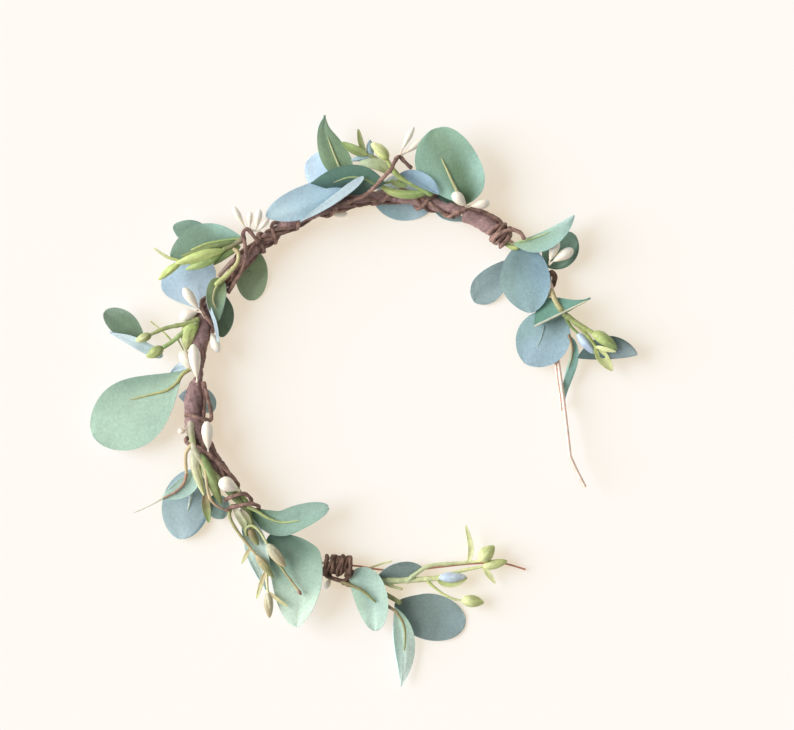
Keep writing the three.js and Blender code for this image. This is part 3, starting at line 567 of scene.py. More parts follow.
# ---------------------------------------------------------------- wires
paths = {name: Path(points) for name, points in ROUTES.items()}
FREE_ENDED = ("tail", "lower_end")  # routes that end in a cut, with no bending point
WIRE_RADII = {"lower_end": THIN_WIRE_R}  # where it isn't WIRE_R
BRIDGE = 5.0  # half the length of wire that bends at a bending point
# Bridges of wire, each with the two routes that it joins.
BRIDGES = {
    "wire_bridge_left": ("upper", "lower"),
    "wire_bridge_right": ("upper", "right"),
    "wire_bridge_tail": ("right", "tail"),
    "wire_bridge_lower": ("lower", "lower_end"),
}


def drawn_tint(t, angle):
    """Painted light: a painted highlight along the top of the wire, its rosy copper on one flank, and
    painted shade on the other flank, away from the light.
    """
    top = np.clip(np.sin(angle) * 1.6 - 0.5, 0, 1)[..., None]
    tarnished = np.clip(np.cos(angle) * 1.5 - 0.2, 0, 1)[..., None]
    flank = linear(WIRE_ROSY) * (1 - tarnished) + linear(WIRE_TARNISHED) * tarnished
    return flank * (1 - top) + linear(WIRE_TOP) * top


# By default a wire is tinted with a painted highlight along its top and painted shade on one flank.
def wire(path, start_radius, end_radius, tint=drawn_tint):
    """A drawn wire, very slightly uneven."""

    def radius(t, angle, points):
        r = start_radius + (end_radius - start_radius) * t
        return r * (1 + 0.015 * np.sin(t * path.length * 0.9))

    return tube(path, radius, tint, step=0.8, sides=16, level=True)


def bridged(first, second, reach):
    """The stretch of two routes about the point where they meet."""
    steps = 6
    a, b = paths[first], paths[second]
    meets_at_start = np.linalg.norm(a.at([0.0])[0] - b.at([0.0])[0]) < 1e-6
    near = np.linspace(reach, 0, steps + 1) / a.length
    before = a.at(near if meets_at_start else 1 - near)
    after = b.at(np.linspace(reach / steps, reach, steps) / b.length)
    return Path(np.vstack([before, after]))


def bridge(name, shape, path, material, slot, first_body, second_body):
    """A piece along the path, from its first end to its last."""
    made = piece(name, shape, [material])
    start, end = to_frame(path.at([0.0, 1.0]))
    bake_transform(made)


for route, path in paths.items():
    cut = BRIDGE / path.length
    stretch = path.part(cut, 1 if route in FREE_ENDED else 1 - cut)
    r = WIRE_RADII.get(route, WIRE_R)
    node = "frame_wire_" + route
    # The thick wire gets its painted highlight and shade; the thin lower end is plain copper.
    tint = RED_COPPER if route == "lower_end" else drawn_tint
    piece(node + "_drawn", wire(stretch, r, r, tint), [METAL], node)

for name, (first, second) in BRIDGES.items():
    path = bridged(first, second, BRIDGE)
    shape = wire(path, WIRE_R, WIRE_RADII.get(second, WIRE_R))
    bridge(name, shape, path, METAL, "copper_wire", ROUTE_BODIES[first], ROUTE_BODIES[second])

# The doubled wire's other strand lies beside the first one and stops in a cut end.
OTHER_R = 0.5
OTHER_STRAND = [
    (84.2, 19, 11.4), (85.7, 5, 12.6), (86.9, -4, 14.2), (87.3, -8.6, 15), (87.4, -9.8, 15.2)]
shape = wire(Path(OTHER_STRAND), OTHER_R, OTHER_R)
piece("wire_other_strand", shape, [METAL], body="right_end")

# ---------------------------------------------------------------- tape
TAPE_PITCH = 6.5  # length of sleeve that one turn of tape covers
TAPE_STEP = 0.32  # how far an overlapping edge stands proud
TAPE_LUMPS = ((0.34, 9), (0.16, 3.2))  # height and size of what shows through the tape
TAPE_SINK = 0.25  # how far the tape's middle lies inside the sleeve's given radius
TAPE_END = 1.2  # length over which a sleeve closes


def sleeve(path, radii, name, tint):
    """A sleeve of tape wound in overlapping turns over something uneven."""
    random = seeded(name)

    def radius(t, angle, points):
        r = np.interp(t, np.linspace(0, 1, len(radii)), radii)
        along = t * path.length
        turn = (along / TAPE_PITCH + angle / TURN) % 1.0
        overlap = TAPE_STEP * (1 - turn) ** 1.5
        uneven = sum(height * lumps(points, size, random) for height, size in TAPE_LUMPS)
        ridges = 0.1 * np.sin(angle * 9 + along * 0.8 + 2 * lumps(points, 12, random))
        close = from_ends(t, path, TAPE_END) ** 0.5
        return (r - TAPE_SINK + overlap + uneven + ridges) * (0.55 + 0.45 * close)

    return tube(path, radius, tint, step=0.42, sides=40, level=True)


# The low sleeve's gap: its shares of the sleeve, and angles and widths of it and of its lip.
GAP_START, GAP_END, GAP_FADE = 0.4, 0.66, 0.05
GAP_ANGLE, GAP_WIDTH = 1.9, 0.3
LIP_ANGLE, LIP_WIDTH = 2.9, 0.6


def low_tint(t, angle):
    """Below its middle, the low sleeve's top has a dark gap of painted shade, beside a paler outer lip of
    painted highlight on the flank towards the light.
    """
    band = np.clip((t - GAP_START) / GAP_FADE, 0, 1) * np.clip((GAP_END - t) / GAP_FADE, 0, 1)
    # The dark gap is painted shade, and the pale lip is painted highlight.
    gap = (band * np.exp(-(((angle - GAP_ANGLE) / GAP_WIDTH) ** 2)))[..., None]
    lip = (band * np.exp(-(((angle - LIP_ANGLE) / LIP_WIDTH) ** 2)))[..., None]
    return linear(TAPE_DARK) * (1 - gap) * (1 - lip) + linear(TAPE_GAP) * gap + linear(TAPE_PALE) * lip


SLEEVE_TINTS = {"tape_sleeve_left": TAPE_DARK, "tape_sleeve_low": low_tint}
for node, (route, start, end, radii) in TAPES.items():
    path = paths[route].part(start, end)
    shape = sleeve(path, radii, node, SLEEVE_TINTS.get(node, TAPE))
    piece(node + "_wound", shape, [CREPE], node)

LEFT_TAPE_REACH = 4.5
LEFT_TAPE_RADII = (1.9, 1.5, 1.7, 2.2)
path = bridged("upper", "lower", LEFT_TAPE_REACH)
shape = sleeve(path, LEFT_TAPE_RADII, "tape_bridge_left", TAPE_DARK)
bridge("tape_bridge_left", shape, path, CREPE, "floral_tape", "upper_arc", "lower_arc")

# ---------------------------------------------------------------- vine wire
TWIST_PITCH = 6.5  # length of vine wire to one turn of its strands
COIL_POINTS = 12  # points to a turn
COIL_KNOTS = 2.5  # changes of width to a turn
COIL_WIDER = 0.45  # how far a wholly wild coil's width strays, as a share
COIL_FURTHER = 1.6  # how far its turns stray along the axis, in turns


def coil_points(start, end, first, turns, radius, wild):
    """Points of a wire coiled about a straight axis, from a first angle, in turns. A wild coil's
    turns differ in width and climb over each other."""
    start, axis = np.array(start, float), np.subtract(end, start)
    side = unit(np.array([-axis[1], axis[0], 0.0]))
    up = np.cross(unit(axis), side)
    t = np.linspace(0, 1, round(abs(turns) * COIL_POINTS) + 1)
    random = seeded(str(start))
    knots = np.linspace(0, 1, round(abs(turns) * COIL_KNOTS))
    wider, further = (np.interp(t, knots, random.uniform(-1, 1, len(knots))) * wild for _ in range(2))
    ring = ring_about(side, up, TURN * (first + turns * t))
    shifted = (t + further * COIL_FURTHER / abs(turns))[:, None]
    return (start + axis * shifted + (radius * (1 + COIL_WIDER * wider))[:, None] * ring).tolist()


def surface_radius(route, t):
    """How far out the surface is at a share of a route: the tape's, or the bare wire's."""
    for on, start, end, radii in TAPES.values():
        if on == route and start <= t <= end:
            return float(np.interp((t - start) / (end - start), np.linspace(0, 1, len(radii)), radii))
    return WIRE_R


def winding_points(route, stations, lift):
    """Points of a wire wound along a route, at stations of share and turns."""
    shares, turns = zip(*stations)
    path = paths[route]
    count = int(max(abs(turns[-1] - turns[0]) / 0.1, path.length * (shares[-1] - shares[0]) / 4))
    s = np.linspace(0, 1, count + 1)
    weights = [abs(b - a) + 0.3 * path.length * (q - p) / 20 for a, b, p, q in zip(
        turns, turns[1:], shares, shares[1:])]
    stops = np.concatenate([[0], np.cumsum(weights)]) / sum(weights)
    t = np.interp(s, stops, shares)
    ring = ring_about(*level_frame(path.forward(t)), TURN * np.interp(s, stops, turns))
    reach = np.array([surface_radius(route, x) for x in t]) + lift + VINE_R
    return (path.at(t) + ring * reach[:, None]).tolist()


def vine(points, name, radius, tint=VINE):
    """A paper-covered wire, twisted from two strands, along points."""
    path = Path(points)
    random = seeded(name)

    def uneven(t, angle, spots):
        twist = TURN * t * path.length / TWIST_PITCH
        r = radius * (1 + 0.1 * np.cos(2 * angle + twist) + 0.04 * np.sin(5 * angle - 2 * twist))
        close = from_ends(t, path, 0.5) ** 0.5
        return (r + 0.09 * lumps(spots, 4, random)) * (0.5 + 0.5 * close)

    return tube(path, uneven, tint, step=0.5, sides=12)


RIGHT_COIL_R = 1.2
WINDING_LIFT = 0.1
RING_TURN = np.radians(np.arange(-70, 400, 22))
VINES = {
    # One oblique turn about the frame wire, over it at one end and under it at the other.
    "coil_wire_right": [
        (83.1 + 1.5 * math.cos(a), 52.2 + 3.1 * math.sin(a), 12 + 2.6 * math.sin(a)) for a in RING_TURN],
    "coil_wire_lower_end": coil_points(
        (-23.4, -81.9, 13.6), (-11.4, -82.6, 13.4), first=0, turns=-7.6, radius=3.9, wild=0.55
    ) + [(-11, -86, 16), (-14.6, -89.4, 15.4), (-20, -88.2, 15.8), (-25, -85.8, 15)],
    "vine_wire_upper": [
        (69.8, 70.2, 21.8), (68.6, 72.8, 22.2), (65.4, 74.7, 22), (60.8, 74.4, 21.6), (56.8, 72, 20.4)
    ] + winding_points("upper", [
        (0.036, 0), (0.014, -0.8), (0.034, -2.2), (0.052, -3.5), (0.135, -3.65), (0.19, -4.2),
        (0.27, -5.4), (0.4, -6.4), (0.5, -7.3), (0.6, -8.6), (0.66, -10.2), (0.8, -11.2),
        (0.9, -12.1)], WINDING_LIFT),
    "vine_wire_lower": [
        (-80.4, 4, 17), (-78.6, -3, 18), (-77.2, -9, 16), (-77, -14, 17.4), (-80, -13.6, 20),
        (-85, -12.2, 19.8), (-88.6, -11.8, 16), (-88, -13.6, 11), (-83, -18, 9), (-80.6, -22, 10),
        (-84.6, -23.6, 10.6), (-88.6, -22.6, 14), (-88.2, -24.6, 18), (-84, -26, 20.4),
        (-78.8, -28.8, 19.4), (-74.6, -32.6, 19), (-70.6, -36.4, 18.8), (-67, -40.6, 17.6),
        (-64.4, -44.6, 14.6), (-66.6, -49, 11.6), (-70.4, -51.8, 14.8), (-69, -50.9, 19),
        (-65, -49.2, 21.4), (-61, -48.5, 21.4), (-58.5, -50.4, 19.6), (-58.2, -52.8, 15),
        (-61, -54.4, 11),
        (-66, -54.6, 11), (-69.6, -56.6, 14.6), (-68, -55.2, 19.4), (-62.6, -53.7, 21.8),
        (-57.6, -53.1, 21.6), (-54.8, -54.2, 18.8), (-54.8, -56.2, 15), (-57, -58.6, 12.6)],
    "vine_wire_loop": [
        (17.2, 103.4, 22.5), (14, 106.4, 23.6), (11, 108.8, 25), (9, 106, 26.6), (7.4, 102.5, 28),
        (4, 99, 28), (0, 94.8, 25.2), (-5, 91, 21.5), (-12, 88, 20.2), (-19, 85.2, 19.4)],
}
for node, points in VINES.items():
    radius = RIGHT_COIL_R if node == "coil_wire_right" else VINE_R
    tint = VINE_DARK if node.startswith("coil") else VINE
    piece(node + "_twisted", vine(points, node, radius, tint), [PAPER], node)

# Strands that lie along the sleeves in long turns, so that the whole reads as one twisted branch.
STRANDS = {
    "vine_strand_right": ("upper", [(0.03, -0.45), (0.08, -0.55), (0.14, -0.62)]),
    "vine_strand_cross": ("upper", [(0.06, 0.1), (0.045, 0.45), (0.02, 0.85), (0.016, 1.2)]),
    "vine_strand_top_first": ("upper", [(0.14, -0.6), (0.3, -0.1), (0.46, 0.6), (0.62, 1.4)]),
    "vine_strand_top_second": ("upper", [(0.15, 0.0), (0.33, 0.6), (0.5, 1.3), (0.66, 2.2)]),
    "vine_strand_top_third": ("upper", [(0.14, 0.35), (0.2, 0.9), (0.3, 1.6), (0.44, 2.3)]),
    "vine_strand_left_first": ("upper", [(0.6, 0.1), (0.7, 0.5), (0.8, 0.85), (0.9, 1.05)]),
    "vine_strand_left_second": ("upper", [(0.62, 0.7), (0.72, 1.05), (0.82, 1.3), (0.93, 1.7)]),
    "vine_strand_left_third": ("upper", [(0.56, 0.0), (0.64, 0.35), (0.72, 0.2), (0.8, 0.3)]),
    "vine_strand_low_inner": ("lower", [(0.03, 0.1), (0.12, 0.02), (0.2, 0.06)]),
    "vine_strand_low_outer": ("lower", [(0.26, 0.1), (0.33, 0.28), (0.42, 0.2), (0.49, 0.12)]),
    "vine_strand_low_under": ("lower", [(0.28, 0.0), (0.36, 0.1), (0.47, 0.3)]),
}
STRAND_LIFT = -0.45
STRAND_R = 0.85
# Strands that stray from the sleeves: body, radius and points.
STRAY_STRANDS = {
    "vine_strand_left_bow": ("upper_arc", 0.95, [
        (-52.6, 66.6, 15), (-54.4, 69, 19), (-57, 72.4, 21.8), (-59.8, 75.2, 22.6), (-61.4, 73.4, 23.2),
        (-60.8, 69, 23.2), (-60.2, 63, 21.6), (-62.2, 56.4, 19.6), (-66.2, 50, 17.6), (-69, 45.4, 15)]),
    "vine_strand_left_knee": ("upper_arc", 1.5, [(-79, 28, 15.2), (-80.4, 19, 15.2), (-82, 10.4, 12.6)]),
    "vine_strand_coil": ("lower_end", 0.85, coil_points(
        (-22.4, -81.4, 13.2), (-12, -84.4, 13.6), first=0.55, turns=5.4, radius=3.6, wild=0.9)),
}
for name, (route, stations) in STRANDS.items():
    shape = vine(winding_points(route, stations, STRAND_LIFT), name, STRAND_R)
    piece(name, shape, [PAPER], body=ROUTE_BODIES[route])
for name, (body, radius, points) in STRAY_STRANDS.items():
    tint = VINE_DARK if body == "lower_end" else VINE
    piece(name, vine(points, name, radius, tint), [PAPER], body=body)

# ---------------------------------------------------------------- sprigs
# Stems are ("stem", start and end radius, start and end colour or one colour, points), buds and
# pods swell between their ends to a width, and leaflets are flat.
SPRIGS = {
    "sprig_stem_right": [
        ("stem", (1.2, 1.4), (TAN, OLIVE), [(82.4, 47.6, 15), (84, 43, 17.6), (86.5, 38.4, 18.8),
            (89.5, 34.3, 18.6)]),
        ("stem", (1.3, 1.0), (OLIVE, LIME), [(88.6, 35.6, 18.6), (94, 31.8, 18.8), (99, 28.6, 19),
            (104, 25.8, 19)]),
        ("stem", (1.1, 0.8), (OLIVE, LIME), [(92, 33, 18.4), (97.5, 28, 17.4), (101.6, 23, 16.4),
            (104.3, 19, 16)]),
        ("stem", (0.9, 0.6), (FOREST, GREEN), [(88.4, 35.6, 18), (91.5, 30.4, 16.6), (95.6, 26.2, 16)]),
        ("stem", (0.8, 0.5), TAN, [(82.6, 47, 15), (81.2, 43.6, 14.4), (79.8, 40.4, 14)]),
        ("bud", 5.8, (LIME, GREEN), [(101.6, 27, 19), (107.4, 23.8, 19.2), (113.4, 19.2, 18)]),
        ("bud", 4.6, BUD_BLUE, [(95, 26.8, 16), (98.6, 22.2, 15.8), (102.8, 16.8, 15.4)]),
        ("leaflet", 5.6, (LIME, LEMON), [(103.4, 20.6, 16), (107.4, 14.4, 15), (111.6, 9, 14)]),
        ("leaflet", 2.2, LEMON, [(103.6, 20.4, 17), (107.6, 19.2, 18), (112.8, 18, 18.4)]),
    ],
    "sprig_stem_top": [
        ("stem", (1.3, 1.1), (GREEN, LIME), [(27, 91.2, 19.4), (20, 95.2, 21), (12, 99.2, 22.6),
            (8.6, 102.6, 23.2), (4.6, 109, 24)]),
        ("stem", (1.0, 0.6), (MAUVE, OLIVE), [(9.6, 100.8, 22.4), (5.6, 104.8, 23), (0, 108.4, 23.4),
            (-5.6, 110.8, 24)]),
        ("stem", (0.7, 0.5), OLIVE, [(14, 98, 21.6), (8, 97.4, 20.8), (2, 96.4, 20)]),
        ("bud", 5.6, (LIME, LEMON), [(5.8, 107.2, 24), (3, 111.4, 24.4), (-1.8, 115, 25)]),
        ("bud", 3.6, SLATE_BLUE, [(-1.6, 108.8, 22.8), (-2.4, 112.6, 22.6), (-2.2, 116.8, 22.6)]),
        ("bud", 3.6, SLATE_BLUE, [(1.8, 107.8, 22), (-4, 108.8, 21.4), (-11.2, 107.4, 21)]),
        ("bud", 4.4, (GREEN, LIME), [(24.6, 92.4, 19.6), (17, 91.4, 20), (8, 92.6, 20.2),
            (1.6, 96.2, 20)]),
        ("leaflet", 2.6, OLIVE, [(-4.6, 110.4, 24), (-6.4, 115, 24.6), (-7.8, 121.6, 25.4)]),
        ("leaflet", 4.4, (OLIVE, GREEN), [(-3.4, 109.8, 24), (-9.4, 112, 24.4), (-15.6, 115.6, 24)]),
        ("leaflet", 5.4, (OLIVE, (200, 216, 182)), [(6.2, 101.6, 23), (2, 105, 23.2),
            (-7.6, 106.3, 22.8)]),
        ("leaflet", 2.8, (OLIVE, GREEN), [(7.4, 98.2, 21), (11, 96, 21.6), (15.2, 95.6, 21.6)]),
    ],
    "sprig_stem_upper_left": [
        ("stem", (1.3, 1.2), (MAUVE, OLIVE), [(-60.6, 71.4, 20.4), (-65.6, 68.2, 21),
            (-71.4, 65.4, 21.6)]),
        ("stem", (1.0, 1.1), (TAN, LIME), [(-66.6, 66.4, 21), (-64, 64.4, 21.2), (-64.2, 60, 21.2),
            (-68.6, 54.4, 21), (-74.8, 49, 20.6)]),
        ("stem", (0.7, 0.25), (OLIVE, TAN), [(-72, 51.4, 20.6), (-74.9, 46.7, 20.2), (-75.7, 41.8, 19.8),
            (-74.4, 38.4, 19.4)]),
        ("stem", (1.1, 1.0), (TAPE, MAUVE), [(-65.4, 61.6, 18.6), (-69, 58, 19), (-73.4, 53, 19)]),
        ("stem", (0.7, 0.5), (GREEN, LIME), [(-61.6, 71, 20), (-70, 70, 21), (-78, 68.6, 21.4),
            (-86, 65.4, 21.4)]),
        ("bud", 5.2, ((188, 206, 128), (214, 226, 150)), [(-70.2, 65.4, 21.6), (-81, 62.8, 22.4),
            (-94, 58.6, 22)]),
        ("bud", 5.2, ((146, 180, 104), (200, 218, 150)), [(-71.4, 64.6, 20.4), (-79.6, 60, 21),
            (-88.4, 56.4, 20.8)]),
        ("bud", 3.8, ((196, 212, 132), (206, 220, 140)), [(-91, 59.4, 22), (-95.6, 56.2, 21.6),
            (-101.2, 51.6, 21)]),
        ("bud", 3.4, (FOREST, OLIVE), [(-63.4, 69.4, 20.6), (-76, 67, 21.6), (-90.4, 62.6, 22)]),
        ("bud", 3.6, (GREEN, FOREST), [(-63, 67.4, 19.6), (-69, 64, 19.8), (-75.6, 58.6, 19.6)]),
        ("leaflet", 1.4, (LIME, LEMON), [(-90.6, 60.2, 22), (-97, 62.2, 22), (-103.4, 66.4, 21.6)]),
    ],
    "sprig_stem_left": [
        ("stem", (1.3, 0.75), OLIVE, [(-82, 33.4, 19.2), (-89, 31, 19.2), (-98, 29, 18.8),
            (-106, 25.6, 18.4)]),
        ("stem", (1.4, 0.9), (OLIVE, GREEN), [(-82.6, 32, 19), (-89.6, 27.2, 18.6), (-95.4, 22.4, 18),
            (-99.6, 19.8, 17.8)]),
        ("stem", (0.4, 0.3), LIME, [(-95.4, 23.2, 18), (-99, 27, 18.6), (-105.2, 32.4, 19.4)]),
        ("stem", (0.4, 0.3), OLIVE, [(-93, 25.4, 18.2), (-91.4, 21.8, 17.6), (-89.6, 18.4, 17)]),
        ("bud", 4.4, (OLIVE, LEMON), [(-104.8, 25.9, 18.5), (-108.8, 24.3, 18.3), (-112.2, 22.9, 18)]),
        ("bud", 5.2, (OLIVE, LIME), [(-99.2, 20, 18), (-103.6, 17.4, 17.6), (-107.2, 15.6, 17.2)]),
        ("bud", 7.4, ((170, 196, 100), LEMON), [(-83.4, 33, 18), (-87.2, 27.4, 17),
            (-88.7, 18.6, 14.6)]),
    ],
    "sprig_stem_low": [
        ("stem", (1.4, 1.8), (GREY_TAN, OLIVE), [(-85.6, -24.6, 20.8), (-82.6, -31.4, 20),
            (-77, -38, 18.6), (-71.6, -43.6, 18)]),
        ("stem", (1.8, 1.4), (FOREST, OLIVE), [(-73, -42.2, 18), (-66.6, -49.4, 17.6),
            (-60.6, -56, 17.8), (-57, -65.4, 19.6)]),
        ("stem", (0.8, 0.7), TAN, [(-82.8, -30.6, 20.4), (-79.6, -37, 21), (-78.6, -44, 21.4),
            (-77.6, -49.4, 21.2)]),
        ("stem", (0.8, 0.5), (TAN, RUST), [(-77.8, -48.4, 21.2), (-76.6, -51.4, 21), (-74, -54, 20.6),
            (-70.4, -55.8, 20)]),
        ("stem", (0.9, 0.8), TAN, [(-85.4, -25, 20.8), (-88.2, -29, 20), (-88.6, -35, 19.6),
            (-88, -39.6, 19.4)]),
        ("stem", (0.8, 0.4), RUST, [(-88.2, -38.6, 19.4), (-89.4, -43.4, 19), (-93.4, -47.6, 18.4),
            (-99.6, -50.8, 17.6)]),
        ("stem", (0.35, 0.16), GREY_TAN, [(-98.8, -50.4, 17.6), (-106, -54.4, 17.4),
            (-113.6, -57.8, 17)]),
        ("stem", (1.6, 1.5), (OLIVE, GREEN), [(-68, -43.4, 16.4), (-64, -48, 16.6),
            (-59.4, -54.6, 16.4)]),
        ("stem", (0.9, 0.6), (OLIVE, TAN), [(-66.8, -53.6, 16.4), (-68.2, -58, 18.6),
            (-66.6, -62.4, 19.8), (-63.2, -67.6, 20), (-55, -77.8, 20)]),
        ("stem", (0.6, 0.6), (TAN, LEMON), [(-50.6, -84.4, 20), (-50.4, -90, 20), (-50, -95.4, 19.6)]),
        ("stem", (0.7, 0.55), (OLIVE, LEMON), [(-60, -68.6, 19.4), (-60.2, -64.8, 20.6),
            (-57.6, -63.3, 21.6), (-54.4, -65.4, 21.8), (-50.2, -72, 22)]),
        ("stem", (0.6, 0.6), (OLIVE, TAN), [(-46.6, -79, 22), (-41, -86.6, 21.4), (-35.4, -94.2, 20.8)]),
        ("bud", 4.6, (GREY_TAN, LEMON), [(-85, -27, 20), (-83.6, -38, 18.6), (-80, -49.6, 17.4)]),
        ("bud", 5.6, (GREEN, OLIVE), [(-81.6, -29.6, 19.4), (-76.6, -41.6, 19.4), (-72, -53.6, 19)]),
        ("bud", 3.9, (TAN, OLIVE), [(-55.6, -77.2, 20), (-51.6, -82.4, 20), (-47.5, -87.7, 20)]),
        ("bud", 4.6, (GREY_TAN, TAN), [(-50, -94.6, 19.6), (-49.8, -100.6, 19), (-49.4, -106.6, 18.4)]),
        ("bud", 5.3, (GREY_TAN, TAN), [(-50.2, -71.8, 22), (-46.4, -77, 22), (-41.8, -82.6, 21.8)]),
        ("bud", 3.8, (BROWN, OLIVE), [(-58.6, -64.8, 20.2), (-56.7, -69, 20.6), (-54.4, -72.6, 20.6)]),
        ("bud", 1.8, RUST, [(-36, -93.4, 20.9), (-35.2, -94.6, 20.8), (-34.6, -95.8, 20.6)]),
        ("leaflet", 4.0, (BROWN, GREEN), [(-79.6, -48.8, 17.6), (-79, -55.6, 16.4), (-78, -62.2, 15.4)]),
        ("leaflet", 1.8, (TAN, LEMON), [(-58.4, -74, 20), (-60.4, -77.4, 19.6), (-62.4, -81.2, 19.2)]),
        ("leaflet", 2.2, (TAN, LEMON), [(-51.4, -85, 20), (-53.4, -91, 19.8), (-55.4, -97.6, 19.6)]),
        ("leaflet", 1.7, (TAN, LEMON), [(-50, -94.4, 19.6), (-45.6, -97.8, 20.4),
            (-40.8, -101.2, 20.6)]),
        ("leaflet", 3.8, (GREY_TAN, OLIVE), [(-66, -55.4, 18.6), (-62.4, -60.6, 19.4),
            (-60, -66.4, 19.8)]),
        ("leaflet", 2.8, (MAUVE, OLIVE), [(-63, -55.8, 19), (-59.8, -59.4, 20), (-57.8, -64, 20.2)]),
    ],
    "sprig_stem_lower_end": [
        ("stem", (1.0, 0.5), (BROWN, OLIVE), [(-23.4, -87.4, 13.4), (-14, -90.6, 16), (-6, -94, 17),
            (0.4, -99.6, 16.8)]),
        ("stem", (1.2, 1.1), (BROWN, OLIVE), [(-14, -91, 15.4), (-6, -92.6, 12), (4.6, -96.2, 11.4),
            (12.4, -100.6, 11.6)]),
        ("stem", (0.9, 0.8), BROWN, [(-8, -92.4, 12.2), (0, -97.6, 11.6), (5, -101.2, 13.4)]),
        ("stem", (0.8, 0.35), (BROWN, OLIVE), [(4.4, -100.8, 13.2), (9.8, -104.2, 15),
            (13.2, -109.4, 15.6), (14.2, -115, 15.2), (13.8, -122.6, 14.4)]),
        ("stem", (1.1, 1.7), (BROWN, SAGE), [(-16, -90.6, 14.8), (-8, -90.4, 11.6), (6, -90.2, 10.8)]),
        ("stem", (1.7, 1.1), (SAGE, LEMON), [(4, -90.2, 10.8), (18, -89.4, 12), (31, -88.6, 12.8)]),
        ("stem", (0.8, 0.6), (SAGE, LEMON), [(5, -91.2, 11), (9, -92.8, 11.4), (13, -93.8, 11.6)]),
        ("stem", (1.1, 0.6), (SAGE, LEMON), [(15.4, -89.8, 12.4), (19.6, -86.2, 13.4), (25, -82.8, 13.8),
            (36, -81.6, 13.6), (50.4, -80.4, 13.6)]),
        ("stem", (0.9, 0.6), (LIME, LEMON), [(26, -89, 12.6), (36, -86.4, 12.6), (45, -84.2, 12.6),
            (53, -82.8, 12.8)]),
        ("stem", (0.7, 0.5), (LIME, LEMON), [(24.6, -90, 12.6), (30, -94.6, 12.4), (36, -98, 12.2),
            (42, -99.4, 12)]),
        ("stem", (0.6, 0.4), (SAGE, LEMON), [(-5, -89.6, 11), (-3.6, -85, 10), (1.6, -82.4, 10),
            (8, -80.6, 10.6)]),
        ("bud", 5.0, (BUD_BLUE, (222, 236, 246)), [(30, -88.2, 13.6), (36.6, -88, 14),
            (42.8, -87.6, 13.6)]),
        ("leaflet", 5.4, (LIME, LEMON), [(29.4, -89.8, 12.2), (37, -90, 12.2), (43.4, -88.4, 12.6)]),
        ("bud", 6.8, (LEMON, LIME), [(49.2, -80.4, 13.6), (52.4, -76.8, 14), (56, -73.2, 14)]),
        ("bud", 4.8, (LEMON, LIME), [(50.8, -83.2, 12.8), (56.6, -81.8, 13.2), (62.2, -80.4, 13.4)]),
        ("bud", 6.0, (LEMON, LIME), [(40.6, -99, 12), (46, -99.4, 12), (51.2, -100.2, 12)]),
        ("leaflet", 2.6, LEMON, [(43.8, -81.4, 13.6), (45, -74.6, 14.6), (42.6, -63.4, 15.6)]),
        ("leaflet", 2.6, LEMON, [(50.8, -82.8, 12.8), (53.4, -86.8, 12.4), (56.6, -91, 12)]),
    ],
}


KNUCKLE_EVERY = 9  # length of stem from one knuckle to the next
TIP_R = 0.25
BUD_SCALES = 3
SCALE_TWIST = 1.2  # how far a bud's scales turn from base to tip, in radians


def fade(colours):
    """A tint that runs from the first colour to the second along a piece, or stays at a single one."""
    first, second = (linear(colour) for colour in pair(colours))
    return lambda t, angle: first + (second - first) * np.clip(t, 0, 1)[..., None]


def stem(radii, colours, points):
    """A ribbed stem with small knuckles and a rounded end."""
    path = Path(points)
    random = seeded(str(points[0]))

    def radius(t, angle, spots):
        along = t * path.length
        knuckles = 0.12 * np.exp(-(((along + 2) % KNUCKLE_EVERY - KNUCKLE_EVERY / 2) ** 2) / 0.6)
        ribs = 0.05 * np.cos(4 * angle + along * 0.3)
        end = np.sqrt(1 - (1 - from_ends(t, path, radii[1])) ** 2 * 0.9)
        r = radii[0] + (radii[1] - radii[0]) * t
        return r * (1 + knuckles + ribs) * end + 0.05 * lumps(spots, 5, random)

    return tube(path, radius, fade(colours), step=0.5, sides=12)


def swelling(t, width):
    """Half the width of a bud or a leaflet, which swells nearer its base than its tip."""
    return TIP_R + (width / 2 - TIP_R) * np.sin(math.pi * t**0.8) ** 0.7


def bud(width, colours, points):
    """A pod of three overlapping scales that close in a point."""
    path = Path(points)
    phase = seeded(str(points[0])).uniform(0, TURN)

    def over_scale(t, angle):
        """How far across its scale a point lies, from 0 to 1; the scales turn along the bud."""
        return ((angle + phase + SCALE_TWIST * t) * BUD_SCALES / TURN) % 1

    def radius(t, angle, spots):
        third = over_scale(t, angle)
        scales = 1 - 0.13 * (1 - third) ** 3 * np.sin(math.pi * t) ** 0.5
        ribs = 1 + 0.025 * np.cos(9 * angle + phase)
        return np.maximum(0.12, swelling(t, width) * scales * ribs)

    blend = fade(colours)

    def tint(t, angle):
        third = over_scale(t, angle)
        ridge = np.exp(-((third / 0.12) ** 2)) + np.exp(-(((1 - third) / 0.12) ** 2))
        streaks = 0.06 * np.sin(11 * angle + 4 * np.sin(9 * t + phase))
        tips = 0.25 * np.clip(t - 0.75, 0, 1)
        return blend(t, angle) * (0.9 + 0.22 * ridge + streaks + tips)[..., None]

    return tube(path, radius, tint, step=min(0.5, path.length / 26), sides=30)


